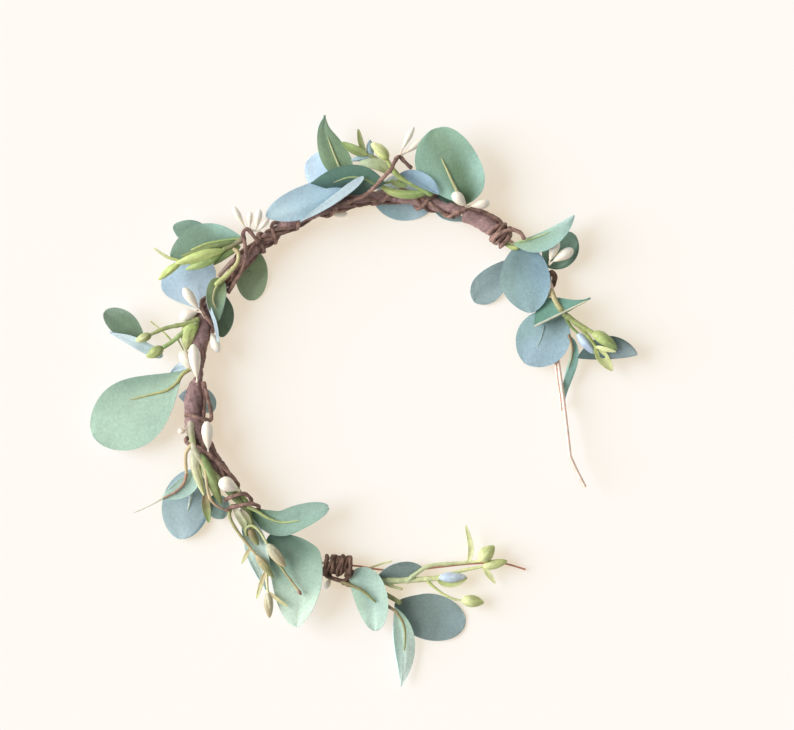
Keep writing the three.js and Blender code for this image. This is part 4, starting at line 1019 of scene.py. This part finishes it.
def leaflet(width, colours, points):
    """A flat pointed leaflet, creased along its middle."""
    path = Path(points)
    rows, columns = 26, 9
    t = np.linspace(0, 1, rows)
    v = np.linspace(-1, 1, columns)
    side, up = level_frame(path.forward(t))
    half = swelling(t, width)
    across = side[:, None] * (half[:, None] * v)[..., None]
    rise = up[:, None] * (half[:, None] * 0.35 * np.abs(v) ** 1.3)[..., None]
    middle = path.at(t)[:, None] + across + rise
    shares = np.broadcast_to(t[:, None], (rows, columns))
    tint = fade(colours)(shares, None)
    thickness = 0.3 + 0.5 * (1 - np.abs(v))[None, :] * np.sin(math.pi * np.clip(t, 0.02, 0.98))[:, None]
    flow_v = np.broadcast_to(v / 2, (rows, columns))
    return shell(middle, thickness, tint, tint * 0.92, shares * path.length, flow_v)


# Stems that the sprigs' mouldings don't have: a bare one on the low sleeve, and one across the right bend
# of the frame.
BARE_STEM = [(-86.2, -14, 17.6), (-86, -20, 18.4), (-85, -26, 19.2)]
BENT_STEM = [(59.4, 70.6, 14.8), (62, 68.4, 16), (64.4, 66.8, 17), (67.6, 66.8, 17.6)]
shape = stem((1.7, 1.5), (TAPE_PALE, OLIVE), BARE_STEM)
piece("stem_on_low_sleeve", shape, [PLASTIC], body="lower_arc")
shape = stem((1.1, 1.2), (GREEN, LIME), BENT_STEM)
bridge("stem_bridge_right", shape, Path(BENT_STEM), PLASTIC, "sprig_plastic", "upper_arc", "right_end")

MAKERS = {"stem": stem, "bud": bud, "leaflet": leaflet}
for node, members in SPRIGS.items():
    shape = Shape()
    for kind, *rest in members:
        shape.add_shape(MAKERS[kind](*rest))
    piece(node + "_moulded", shape, [PLASTIC], node)

# ---------------------------------------------------------------- pips
# Where the threads are tied, then base, tip and width of each pip.
PIPS = {
    "pips_right": ((81.6, 58.6, 15), [
        ((82, 60.4, 15.4), (85.6, 71, 17.6), 4.6), ((83.4, 60.2, 15.6), (93, 66.2, 16.4), 5.2)]),
    "pips_top_right": ((43.4, 85.6, 19.4), [
        ((42.6, 86, 20.4), (36.4, 92.2, 22.6), 5.4), ((44.6, 86, 19.6), (53.8, 87.8, 18.6), 4.4)]),
    "pips_top": ((11.6, 109.6, 22.2), [
        ((12.4, 111.8, 22.6), (18.2, 123, 21.6), 3.0), ((13.8, 110.6, 21.2), (22.8, 117.6, 20.4), 3.6)]),
    "pips_upper_left": ((-57.6, 74.6, 20.4), [
        ((-61, 76.4, 20.8), (-66.4, 86, 22), 3.2), ((-58.6, 76.4, 20.8), (-58.2, 83.4, 21.6), 3.0),
        ((-55.6, 75.4, 20.8), (-53.8, 84.6, 21.6), 3.6),
        ((-54.6, 74.6, 20.6), (-49.6, 80.4, 20.8), 2.8)]),
    "pips_left_high": ((-81, 36.2, 18.6), [
        ((-82.6, 38, 19), (-89.6, 47.8, 21), 4.8), ((-83, 36.6, 18.4), (-91.6, 34, 18), 5.2),
        ((-77.2, 27.4, 14.6), (-73.4, 17.6, 18), 4.6)]),
    "pips_left": ((-83.4, 3.6, 20.2), [((-83.2, 5.4, 20.8), (-85, 21.6, 22), 5.6)]),
    "pips_low_upper": ((-78.2, -29.4, 19.6), [((-78, -28, 20), (-78.6, -14.4, 21.4), 5.6)]),
    "pips_low": ((-63.2, -47, 22.2), [((-63.8, -46.6, 22.6), (-72.8, -42.2, 22.8), 7.0)]),
}
# Pips that are all but hidden, with the body that each rides on.
HIDDEN_PIPS = {
    "pip_under_top": ("upper_arc", ((-24.4, 84.4, 9.6), [((-23.4, 84.2, 9.4), (-13, 83, 9), 4.0)])),
    "pip_left_pale": ("upper_arc", ((-84.4, 7, 12), [((-85, 8, 12.4), (-91.4, 18.6, 14), 6.2)])),
    "pip_low_pale": ("lower_arc", ((-88.4, -19.4, 11), [((-89, -19.4, 10.8), (-93, -19.4, 10), 3.0)])),
    "pip_lower_end": ("lower_end", ((-20.6, -87.4, 9.4), [((-21, -88.4, 9), (-23.6, -94, 8), 3.2)])),
}
THREAD_R = 0.42
PIP_ARCH = (0, 0, 0.25)


def pips(tied, members):
    """Egg-shaped pips on threads that meet where they are tied."""
    shape = Shape()
    for base, tip, width in members:
        base, tip = np.array(base), np.array(tip)
        inside = base * 0.7 + tip * 0.3

        def thread(t, angle, spots):
            return THREAD_R * (1 + 0.12 * np.cos(2 * angle + 9 * t))

        def drop(t, angle, spots, width=width):
            egg = np.sin(math.pi * np.clip(t, 0, 1) ** 1.5) ** 0.52
            return np.maximum(0.1, width / 2 * egg) * (1 + 0.03 * np.cos(3 * angle + 4 * t))

        shape.add_shape(tube(Path([tied, base, inside]), thread, THREAD, step=0.5, sides=8))
        path = Path([base, (base + tip) / 2 + PIP_ARCH, tip])
        tint = fade((THREAD, CREAM))
        shape.add_shape(tube(path, drop, tint, step=path.length / 34, sides=24))
    return shape


for node, (tied, members) in PIPS.items():
    piece(node + "_lacquered", pips(tied, members), [LACQUER], node)
for name, (body, (tied, members)) in HIDDEN_PIPS.items():
    piece(name, pips(tied, members), [LACQUER], body=body)

# ---------------------------------------------------------------- leaves
# Outlines: where a blade is widest, and how its base and its tip round off.
OUTLINES = {
    "round": (0.52, 0.62, 0.5),
    "oval": (0.52, 0.8, 0.6),
    "obovate": (0.62, 1.15, 0.5),
    "lance": (0.42, 0.85, 0.95),
    "hooded": (0.34, 0.9, 1.5),
}
LEAF_THICKNESS = 0.55
MIN_HALF_WIDTH = 0.4
# The valley along a midrib: its depth, the square of its half width, and its share of that depth
# where there is no rib.
VALLEY_DEPTH, VALLEY_SPREAD, VALLEY_UNRIBBED = 0.05, 1.2, 0.6
CREASE = 0.25  # the share of a half blade that bends where it is folded
UNDER = 7.2  # the height of the lowest leaves, which lie flat on the floor
# A spot of colour: how widely it spreads, and how little a step across counts beside one along.
SPOT_SIZE, SPOT_WIDTH = 0.02, 0.25


def leaf(outline, base, heading, length, width, front, back=POWDER, pitch=0, roll=0, sweep=0, curl=0,
         fold=6, wave=0.5, rib=None, rib_radii=(0.62, 0.3), rims=(), body=None):
    """A leaf's placing and looks. It sets off from base at a heading and a pitch and is rolled about
    its midrib; base may be a whole course of points instead. width, outline and fold may be pairs,
    for the left and the right half. front and back are a colour, or spots of (share, across, colour);
    rims are (side, share of the half, colour)."""
    return dict(locals())


def along_course(outline, course, width, front, **more):
    """A leaf whose midrib runs through the course's points."""
    return leaf(outline, course, None, Path(course).length, width, front, **more)


LEAVES = {
    "leaf_right_crescent": leaf((0.42, 0.85, 0.75), (64.6, 68.6, 18.9), 11, 31.8, 15.6,
        [(0, 0, (160, 186, 146)), (1, 0, (176, 204, 198)), (0.5, -1, (154, 188, 180)),
        (0.4, -0.3, (156, 188, 170))], pitch=5, sweep=28, fold=(-110, 6), rib=((180, 204, 150),
        [(67.6, 69.6), (74, 71), (82, 74.2)]), rib_radii=(0.6, 0.15)),
    # Its dark rim along the lower edge is painted shade, where that edge folds under beneath the pips.
    "leaf_right_shaded": leaf("round", (80.8, 58, 11), 50, 20, 16.4, [(0, 0, (120, 150, 130)),
        (0.6, 0.3, (166, 200, 180)), (0.5, -1, (146, 180, 160))], pitch=4, fold=10,
        rims=[(-1, 0.28, (98, 126, 108))]),
    "leaf_right_broad": leaf(("round", "oval"), (67.4, 68.8, 16.9), -80, 33, 23.5,
        [(0.08, 0, (118, 144, 148)), (0.5, 0.9, (150, 182, 198)), (0.5, -0.9, (140, 166, 164)),
        (0.9, -0.2, (148, 176, 180))], pitch=2, fold=(-2, -3)),
    # Its darker base is painted shadow, where it lies under the edge of the broad leaf.
    "leaf_right_teal": leaf((0.7, 0.95, 0.5), (66.4, 62.8, UNDER), 227, 28.8, 14.6,
        [(0.3, 0, (132, 152, 154)), (1, 0, (152, 173, 175))], fold=4),
    "leaf_right_cupped": leaf(((0.34, 0.9, 2.1), "hooded"), (74.4, 30, 19), 26, 29.5, 20,
        [(0.2, 1, (98, 140, 124)), (0.6, 0.5, (112, 154, 140))], back=(132, 164, 150), pitch=2, roll=-24,
        fold=(0, -172), rib=((196, 198, 186), [(74.6, 29.8), (88, 36.3), (100, 42.2)]),
        rib_radii=(0.6, 0.45)),
    "leaf_right_blue": leaf("round", (87.4, 36.2, 14.6), -125, 29, 25, (140, 160, 150),
        back=[(0.1, 0, (128, 152, 152)), (0.5, 0.9, (150, 180, 182)), (0.8, 0, (164, 190, 204)),
        (0.5, -0.8, (162, 190, 204))], pitch=-2, roll=180, fold=1.5, wave=0.3, rib=((140, 168, 178),
        [(79.5, 30), (78.2, 25), (76, 20)]), rib_radii=(0.3, 0.15)),
    "leaf_right_narrow": along_course("lance", [(90.8, 26.2, 15.4), (92.7, 21.4, 14.8), (92.6, 16, 13.8),
        (91.2, 10.6, 12.8), (89.6, 5, 12), (88.7, 0.4, 11.2), (88.4, -4.2, 10.4), (88.5, -8.4, 10)],
        (7, 2.2), [(0.3, 0, (132, 172, 160)), (1, 0, (158, 198, 190))], fold=(-14, -50), rib=(BROWN,
        [(90.8, 26, 16.6), (92.4, 21.4, 16), (92.4, 16), (91, 10.6)]), rib_radii=(0.75, 0.3)),
    "leaf_right_slate": leaf("oval", (95, 15.2, 15.6), 3, 28, 19, [(0.2, 0.4, (84, 106, 104)),
        (0.45, 0.9, (92, 116, 112)), (0.85, 0.2, (150, 168, 172))], fold=(4, -105),
        rims=[(1, 0.14, (88, 112, 104))]),
    # The darker spots beside the midrib on its right half are painted shade in the valley of its fold.
    "leaf_top_round": leaf(((0.62, 0.85, 0.5), (0.42, 0.45, 0.35)), (43, 87, 18), 115, 38.4,
        (29.6, 28.4), [(0.12, -0.12, (78, 103, 71)), (0.42, -0.16, (103, 132, 98)),
        (0.7, -0.1, (132, 161, 134)), (0.95, 0, (142, 172, 146)), (0.3, 0.75, (180, 222, 208)),
        (0.35, -0.95, (180, 220, 208)), (0.7, 0.8, (163, 202, 180)), (0.75, -0.8, (162, 200, 178))],
        pitch=8, fold=3, rib=((178, 178, 134), [(39.4, 91.2), (36, 98), (33.2, 104), (31, 108.6)]),
        rib_radii=(0.95, 0.35)),
    # The near-white spot on the half under the top sleeve is painted light, raised against the shade that
    # the sleeve casts on it.
    "leaf_top_under": leaf("round", (-0.6, 89, UNDER), 9, 31.5, 23, UNSEEN,
        back=[(0.5, -1, (238, 255, 255)), (0.8, 1, (172, 200, 210)), (0.1, 1, (156, 188, 196))],
        roll=180, fold=3),
    "leaf_top_lid": along_course((0.5, 0.6, 0.6), [(11.4, 100.6, 22.4), (20.6, 96.8, 23),
        (29.8, 91.6, 22)], (10.4, 3), [(0.1, 0, (110, 134, 148)), (0.4, -0.8, (118, 144, 160)),
        (0.5, 0.8, (158, 188, 206)), (0.9, 0, (150, 180, 198))], fold=2, body="upper_arc"),
    "leaf_top_pointed": along_course(("lance", (0.3, 0.7, 1.15)), [(-14, 97, 16.6), (-18, 105, 18.4),
        (-21.8, 114.6, 20), (-23.8, 122, 21.4), (-23.5, 128.4, 22.6)], (11.2, 15.6),
        [(0.1, 0, (109, 125, 83)), (0.35, 0.5, (132, 158, 126)), (0.5, -0.6, (134, 162, 130)),
        (1, 0, (144, 170, 146))], fold=2, rib=((174, 180, 136), [(-16.4, 104), (-19.2, 110.6),
        (-22.2, 118.6)])),
    "leaf_top_pale": leaf("round", (-13, 98.6, 14.4), 158, 21, 20, (140, 180, 160), back=(204, 226, 243),
        roll=180),
    # Its darker half, which folds down, is painted shade.
    "leaf_top_arched": leaf("lance", (4.8, 96.6, 24.2), 169, 35, (19, 14), [(0.1, 0, (92, 122, 104)),
        (0.5, -0.8, (88, 121, 108)), (0.5, 0.5, (62, 92, 86)), (1, 0, (84, 118, 110))], pitch=1,
        sweep=22, curl=-8, fold=(-50, -4), rib=((126, 150, 104), [(0.8, 95.6), (-5.4, 98.6), (-12, 99.2),
        (-19.6, 96.8)]), rib_radii=(0.8, 0.2)),
    "leaf_top_long": along_course(((0.6, 0.62, 0.5), (0.65, 0.63, 0.7)), [(-6.6, 97.8, 20.4),
        (-20, 91.8, 20.8), (-35, 85.2, 21), (-50.8, 80.8, 20.6)], (18.6, 10.8), (196, 220, 232),
        back=[(0.1, 0, (130, 160, 182)), (0.4, 0, (172, 202, 218)), (0.9, 0, (188, 214, 224))], roll=180,
        fold=4),
    "leaf_top_strip": along_course((0.75, 0.8, 0.45), [(-35, 78.8, 21.4), (-27.6, 83.3, 22.2),
        (-20.4, 88, 23.4), (-10.4, 95.3, 25.4), (-5.2, 99.3, 26.4)], 4.2, (184, 204, 212), fold=2,
        wave=0.1, body="upper_arc"),
    "leaf_upper_green": leaf("oval", (-61.6, 70.6, 18.4), 193, 35, (10, 23), [(0.2, -1, (166, 204, 192)),
        (0.6, -0.6, (130, 158, 138)), (0.9, 0, (134, 162, 140)), (0.3, 0.5, (108, 132, 108))], pitch=1,
        fold=8),
    "leaf_upper_back": leaf("oval", (-75, 69.8, 14.6), 160, 21, 12, (132, 160, 142), fold=8),
    "leaf_upper_blue": leaf("obovate", (-82, 37.4, 10), 112, 26, 27, UNSEEN,
        back=[(0.2, 0, (190, 211, 227)), (0.9, -1, (171, 196, 215)), (0.9, 1, (186, 209, 226))],
        roll=180),
    "leaf_inner_green": leaf((0.5, 0.62, 0.42), (-58.4, 67, 8.4), -90, 24.6, 15.5,
        [(0.2, 0, (152, 174, 132)), (0.8, 0, (162, 184, 150))], pitch=-2, rib=((156, 168, 140),
        [(-61, 55.5), (-59.4, 55.6), (-58, 54)]), rib_radii=(0.4, 0.4)),
    "leaf_hanging_green": along_course((0.38, 0.45, 0.75), [(-73.2, 52.6, 19), (-74.3, 46, 18.8),
        (-74.5, 40, 18.4), (-73.5, 32.4, 18)], (9.6, 9.4), [(0.1, 0, (134, 148, 102)),
        (0.5, 0, (120, 142, 111)), (0.8, 0.5, (124, 150, 128))], fold=(10, 14)),
    "leaf_hanging_strip": along_course((0.6, 0.55, 0.8), [(-78.7, 46, 17.4), (-77, 37.8, 19),
        (-75, 32, 19.4), (-73.9, 26.6, 19), (-73.2, 21.2, 17.8)], 1.7, (200, 222, 232), fold=2, wave=0.1,
        body="upper_arc"),
    "leaf_hanging_back": leaf("oval", (-73, 46.4, 8.4), -88, 21.5, 12, (112, 136, 112)),
    "leaf_left_folded": along_course((0.6, 1.1, 0.48), [(-107.5, 20.6, 14.4), (-113.5, 27, 15.2),
        (-120.6, 32.6, 15.8), (-127, 36.6, 16.2)], (12, 12.6), [(0.3, 0, (108, 130, 106)),
        (0.6, -0.3, (120, 144, 120)), (0.9, -0.8, (142, 164, 146))], back=(200, 222, 236), fold=6,
        wave=0.3),
    "leaf_left_turned": along_course((0.35, 0.45, 0.9), [(-99.8, 15.7, 14.6), (-107, 19.4, 16),
        (-115, 23.5, 17), (-124.4, 27, 17.6)], 5.4, [(0.2, 0, (200, 222, 234)),
        (0.8, 0, (216, 236, 242))], fold=(6, 2), wave=0.2, body="upper_arc"),
    "leaf_left_large": leaf("obovate", (-89.6, 9.6, 15), 222, 53.5, (33.6, 31),
        [(0.35, -1, (146, 178, 160)), (0.5, -0.2, (176, 204, 184)), (0.9, 0, (184, 214, 194)),
        (0.4, 0.7, (176, 206, 188)), (0.12, 0.2, (164, 190, 170))], pitch=-3, sweep=-12, fold=4,
        rib=((164, 162, 104), [(-86.8, 9.8, 17.4), (-90.2, 7.4), (-93, 3.6), (-97.6, 0), (-104, -1.8),
        (-115.6, -4.6)]), rib_radii=(1.0, 0.3)),
    "leaf_left_under": along_course((0.55, 0.8, 0.4), [(-92.8, -3, UNDER), (-84, -4.6, UNDER),
        (-76, -9.4, UNDER)], (13, 9), [(0.1, 0, (214, 236, 250)), (0.9, 0, (192, 226, 222))], fold=3),
    # The dark rim along one of its edges is painted shade.
    "leaf_low_blue": leaf("round", (-85.8, -37.4, 12), -101, 33.5, 22.6, UNSEEN,
        back=[(0.1, 0, (154, 175, 182)), (0.6, 0.6, (172, 196, 200)), (0.7, -0.7, (170, 193, 199)),
        (1, 0, (176, 200, 206))], pitch=-4, roll=180, fold=2, rims=[(-1, 0.2, (116, 146, 160))],
        rib=((186, 204, 212), [(-86.6, -48.4), (-87.3, -52.6), (-88.4, -57.4)]), rib_radii=(1.2, 0.15)),
    "leaf_low_edge": along_course(((0.34, 0.8, 1.0), "oval"), [(-84, -37.4, 17), (-88.2, -43.4, 17.6),
        (-92.6, -47.4, 17.4), (-99.8, -51, 16.8)], (10.6, 8), (176, 206, 194), fold=4),
    "leaf_low_inner": along_course((0.5, 0.7, 0.42), [(-59, -55.6, 15.4), (-52, -60.4, 16.4),
        (-44, -62.5, 17.2), (-35.6, -59.5, 18.2), (-28.6, -56.9, 18.8), (-21.8, -54.8, 19.2)],
        (12.2, 12.2), [(0.1, -0.6, (100, 128, 104)), (0.2, 0.8, (124, 152, 130)),
        (0.5, 0.5, (148, 178, 164)), (0.5, -0.7, (152, 184, 168)), (0.9, 0, (162, 192, 180))], fold=6,
        rib=((188, 204, 140), [(-60, -54.6, 18.4), (-56, -56.4, 18.4), (-50, -60, 18.2), (-43.4, -62),
        (-35, -61)]), rib_radii=(0.95, 0.25)),
    # Its dark base is painted shadow, where the inner leaf lies over it.
    "leaf_low_large": along_course(((0.35, 1.7, 0.66), (0.45, 0.3, 0.46)), [(-45.4, -65, 15),
        (-39.8, -74, 16.2), (-36.8, -86, 17.6), (-36.2, -99, 18), (-36.4, -110.8, 18.2)], (26.2, 24.2),
        [(0, 0, (62, 84, 68)), (0.14, -0.8, (78, 106, 88)), (0.18, 0.5, (86, 118, 100)),
        (0.42, -0.4, (150, 182, 164)), (0.52, 0.5, (166, 195, 178)), (0.75, 0, (200, 224, 206)),
        (1, 0, (218, 240, 222)), (0.95, 0.8, (214, 236, 218)), (0.95, -0.8, (210, 232, 214))],
        fold=(12, -3)),
    # The darker rim along one of its edges is painted shadow.
    "leaf_low_pale": along_course("lance", [(-61, -57.6, 16), (-57.6, -67, 17), (-53, -76, 17.6),
        (-49.4, -83, 17.8)], 9.6, (196, 218, 210), fold=16, rims=[(-1, 0.25, (160, 190, 182))]),
    "leaf_bottom_pale": along_course((0.42, 0.5, 0.46), [(-9.6, -84.4, 14.2), (-4.2, -92.4, 14.8),
        (-1.2, -102, 15.2), (0.2, -112.9, 15)], (16.6, 14.8), [(0.1, 0.2, (166, 196, 184)),
        (0.5, 0.9, (200, 228, 212)), (0.9, 0, (204, 232, 216)), (0.5, -0.9, (184, 214, 192)),
        (0.45, 0.1, (178, 206, 196))], fold=(5, 6)),
    "leaf_bottom_slate": leaf("oval", (-0.6, -91, 11), 17, 24, (12.8, 6.4), [(0.2, -0.5, (86, 104, 98)),
        (0.7, 0.4, (132, 150, 148))], roll=14),
    "leaf_bottom_dark": along_course((0.55, 0.7, 0.42), [(9.2, -101, UNDER), (19, -105.6, UNDER),
        (30, -108.2, UNDER), (42.4, -110.6, UNDER)], (22.4, 21.6), [(0, 0, (92, 110, 104)),
        (0.5, 0, (131, 149, 146)), (1, 0, (150, 171, 175))], fold=3),
    "leaf_bottom_narrow": leaf("lance", (9.4, -102.4, 12), -66, 38, 10.4, [(0.1, 0.5, (198, 230, 208)),
        (0.5, -1, (200, 234, 222)), (0.6, 0.6, (226, 250, 238)), (1, 0, (232, 252, 242))], pitch=-1,
        sweep=-40, fold=(-20, 20)),
    # Slivers of leaves that are nearly hidden, and a dark sliver of painted shade.
    "leaf_sliver_top": leaf("lance", (27, 86, 8.6), -22, 17, 6, (154, 184, 182), body="upper_arc"),
    # This dark sliver is painted shade: a dark sheet that stands for the shade under the round top leaf's
    # lower edge.
    "leaf_sliver_dark": leaf("oval", (28.6, 93.4, 15.4), -32, 11, 5, (74, 98, 84), body="upper_arc"),
    "leaf_sliver_low": leaf("round", (-76, -49.4, 8.6), -72, 12, 11, (136, 162, 156), body="lower_arc"),
    "leaf_sliver_mint": along_course("lance", [(-61.6, -66, 13.4), (-58.4, -76, 13.8), (-54.4, -86, 14),
        (-51.4, -94, 14)], 5, (200, 222, 214), body="lower_arc"),
    "leaf_sliver_blue": along_course("lance", [(-87.6, 12.4, 13.6), (-92, 9.8, 13.4), (-97, 7, 13)], 5,
        (198, 218, 230), body="lower_arc"),
}


def outline_at(outline, s):
    """The share of its half width that a blade has at share s of its length."""
    widest, base, tip = OUTLINES.get(outline, outline)
    opening = np.sin(math.pi / 2 * (np.clip(s, 0, widest) / widest) ** base)
    closing = np.cos(math.pi / 2 * np.clip((s - widest) / (1 - widest), 0, 1))
    return np.where(s < widest, opening, np.maximum(closing, 0) ** tip)


def folded(t, half_width, slope):
    """Where a half blade's point at distance t from the midrib goes: outwards and upwards."""
    bend = CREASE * half_width
    turn = math.radians(slope) or 1e-6
    angle = turn * np.clip(t, 0, bend) / bend
    rest = np.maximum(t - bend, 0)
    out = bend / turn * np.sin(angle) + rest * math.cos(turn)
    return out, bend / turn * (1 - np.cos(angle)) + rest * math.sin(turn)


def turned(vectors, axes, degrees):
    c, s = math.cos(math.radians(degrees)), math.sin(math.radians(degrees))
    along = np.sum(vectors * axes, -1, keepdims=True)
    return vectors * c + np.cross(axes, vectors) * s + axes * along * (1 - c)


def painted(paint, s, v, rims):
    """A colour, or spots of colour that blend into each other, on a grid, with rims."""
    if not isinstance(paint[0], tuple):
        colours = np.broadcast_to(linear(paint), (*s.shape, 3))
    else:
        weights = [
            1 / ((s - a) ** 2 + SPOT_WIDTH * (v - b) ** 2 + SPOT_SIZE) ** 1.5 for a, b, _ in paint]
        blended = sum(weight[..., None] * linear(spot[2]) for weight, spot in zip(weights, paint))
        colours = blended / sum(weights)[..., None]
    for side, share, colour in rims:
        near = np.clip((v * side - 1 + share) / share * 1.6, 0, 1)[..., None]
        colours = colours * (1 - near) + linear(colour) * near
    return colours


LEAF_ROWS, LEAF_COLUMNS = 44, 33
RIB_LIFT = 0.12  # of a rib's middle over the blade
ABOVE_ALL = 60  # a height from which to look down for the blade


def midrib_of(spec, s):
    """The midrib's points, and its left and up directions, at shares s."""
    fine = np.linspace(0, 1, 241)
    if spec["heading"] is None:
        path = Path(spec["base"])
        midrib, forward = path.at(fine), path.forward(fine)
        flat_left = level_frame(forward)[0]
    else:
        yaw = np.radians(spec["heading"] + spec["sweep"] * fine)
        climb = np.radians(spec["pitch"] + spec["curl"] * fine)
        forward = np.stack([np.cos(yaw) * np.cos(climb), np.sin(yaw) * np.cos(climb), np.sin(climb)], -1)
        steps = (forward[1:] + forward[:-1]) / 2 * spec["length"] / (len(fine) - 1)
        midrib = np.vstack([[0, 0, 0], np.cumsum(steps, axis=0)]) + spec["base"]
        flat_left = np.stack([-np.sin(yaw), np.cos(yaw), 0 * yaw], -1)
    left = turned(flat_left, forward, spec["roll"])

    def read(table):
        return np.stack([np.interp(s, fine, table[:, i]) for i in range(3)], -1)

    return read(midrib), unit(read(left)), unit(read(np.cross(forward, left)))


def blade(name, spec):
    """The blade's middle surface as a grid, and its shares along and across."""
    random = seeded(name)
    s = (1 - np.cos(np.linspace(0, math.pi, LEAF_ROWS))) / 2
    v = np.linspace(-1, 1, LEAF_COLUMNS)
    v = np.sign(v) * np.abs(v) ** 0.9
    midrib, left, up = midrib_of(spec, s)
    widths, outlines, folds = (pair(spec[key]) for key in ("width", "outline", "fold"))
    outs, rises = [], []
    for half, sign in enumerate((1, -1)):
        width = np.maximum(MIN_HALF_WIDTH, widths[half] / 2 * outline_at(outlines[half], s))[:, None]
        distance = np.abs(np.where(np.sign(v) == sign, v, 0))[None, :] * width
        out, rise = folded(distance, width, folds[half])
        outs.append(sign * np.where(np.sign(v) == sign, out, 0))
        rises.append(np.where(np.sign(v) == sign, rise, 0))
    shares, across = np.meshgrid(s, v, indexing="ij")
    phases = random.uniform(0, TURN, 4)
    edge = np.abs(across) ** 2 * np.minimum(1, 4 * shares) * np.minimum(1, 6 * (1 - shares) + 0.3)
    waves = np.sin(5.2 * shares + phases[0] + np.sign(across)) + 0.5 * np.sin(11 * shares + phases[1])
    dents = np.sin(4 * shares + 2 * across + phases[2]) * np.sin(3 * across + phases[3])
    ripple = spec["wave"] * (edge * waves + 0.4 * dents * np.minimum(1, 5 * shares))
    if midrib[:, 2].max() < UNDER + LEAF_THICKNESS:
        # A leaf on the floor ripples only upwards.
        ripple = np.abs(ripple) * (-1 if spec["roll"] else 1)
    valley = -VALLEY_DEPTH * np.exp(-((across * max(widths) / 2) ** 2) / VALLEY_SPREAD)
    valley = valley * (1 if spec["rib"] else VALLEY_UNRIBBED)
    middle = midrib[:, None] + left[:, None] * sum(outs)[..., None]
    middle = middle + up[:, None] * (sum(rises) + ripple + valley)[..., None]
    return middle, shares, across


def rib(spec, surface):
    """A midrib laid on the blade, where its points have no height of their own."""
    colour, points = spec["rib"]
    tree = BVHTree.FromPolygons(np.vstack(surface.points).tolist(), surface.faces)
    laid = []
    for x, y, *own_height in points:
        hit = tree.ray_cast((x, y, ABOVE_ALL), (0, 0, -1))[0]
        if own_height:
            height = own_height[0]
        elif hit:
            height = hit[2] + RIB_LIFT
        laid.append((x, y, height))
    path = Path(laid)
    first, last = spec["rib_radii"]

    def radius(t, angle, spots):
        end = np.clip((1 - t) * path.length / 3, 0, 1) ** 0.5
        return (first + (last - first) * t) * (1 + 0.06 * np.cos(3 * angle)) * (0.15 + 0.85 * end)

    tint = fade((colour, tuple(0.5 * np.array(colour) + 0.5 * np.array(LEMON))))
    return tube(path, radius, tint, step=0.6, sides=10)


for name, spec in LEAVES.items():
    middle, shares, across = blade(name, spec)
    turned_over = spec["roll"] == 180
    front = painted(spec["front"], shares, across, () if turned_over else spec["rims"])
    back = painted(spec["back"], shares, across, spec["rims"] if turned_over else ())
    shape = shell(middle, LEAF_THICKNESS, front, back, shares * spec["length"], across / 2)
    if spec["rib"]:
        shape.add_shape(rib(spec, shape), material=1)
    if spec["body"]:
        piece(name, shape, [CLOTH, PLASTIC], body=spec["body"])
    else:
        piece(name + "_cut", shape, [CLOTH, PLASTIC], name)

# ---------------------------------------------------------------- floor, light and camera
VIEW_CENTRE = (10.3, 11.75, 14)  # the middle of the photograph's field, at the wire's height
FIELD = 373.2  # width of that field
LENS = 120
FLOOR_COLOUR = (0.375, 0.46, 0.572)
FLOOR_GLOW = (0.611, 0.482, 0.318)
FLOOR_HALF = 3.0  # half the floor's width, in metres
SENSOR = 36
# The key light is a wide sun from the upper left; the room is brighter on the left than on the right.
KEY_STRENGTH = 3.8
KEY_SPREAD = math.radians(50)
KEY_TILT = (math.radians(-8), math.radians(-60), 0)
ROOM_COLOUR = (1.0, 0.97, 0.92, 1)
ROOM_LEFT, ROOM_RIGHT = 0.56, 0.37


def ivory_floor():
    """A luminous ivory sheet, like an overexposed backdrop: its shadows stay light and warm."""
    n = Nodes("floor")
    soft = n.noise(n.place(), scale=3, detail=2, low=0.992, high=1.004)
    n.set(Base_Color=n.scaled(FLOOR_COLOUR, soft), Roughness=0.9, Specular_IOR_Level=0.05)
    n.set(Emission_Color=(*FLOOR_GLOW, 1), Emission_Strength=1.0)
    return n.material


def floor():
    mesh = bpy.data.meshes.new("floor")
    corners = [(x * FLOOR_HALF, y * FLOOR_HALF, 0) for x, y in ((-1, -1), (1, -1), (1, 1), (-1, 1))]
    mesh.from_pydata(corners, [], [(0, 1, 2, 3)])
    mesh.materials.append(ivory_floor())
    placed("floor", mesh)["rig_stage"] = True


def studio_light():
    """A wide soft key from the upper left, and a warm room around it."""
    lamp = bpy.data.lights.new("key", "SUN")
    lamp.energy = KEY_STRENGTH
    lamp.angle = KEY_SPREAD
    placed("key", lamp).rotation_euler = KEY_TILT
    world = bpy.data.worlds.new("room")
    world.use_nodes = True
    tree = world.node_tree
    background = tree.nodes["Background"]
    place = tree.nodes.new("ShaderNodeTexCoord").outputs["Generated"]
    split = tree.nodes.new("ShaderNodeSeparateXYZ")
    tree.links.new(place, split.inputs[0])
    ramp = tree.nodes.new("ShaderNodeMapRange")
    tree.links.new(split.outputs["X"], ramp.inputs["Value"])
    for index, value in ((1, -1.0), (2, 1.0), (3, ROOM_LEFT), (4, ROOM_RIGHT)):
        ramp.inputs[index].default_value = value
    background.inputs["Color"].default_value = ROOM_COLOUR
    tree.links.new(ramp.outputs["Result"], background.inputs["Strength"])
    bpy.context.scene.world = world


def camera():
    data = bpy.data.cameras.new("camera")
    data.lens = LENS
    data.sensor_width = SENSOR
    made = placed("camera", data)
    made.location = to_frame(np.array(VIEW_CENTRE) + (0, 0, FIELD * LENS / SENSOR))
    bpy.context.scene.camera = made


floor()
studio_light()
camera()
bpy.context.scene.view_settings.view_transform = "Standard"
bpy.context.scene.view_settings.look = "None"

size = {"cad": [list(corner) for corner in CAD_BOX], "visual": [list(corner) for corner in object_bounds()]}
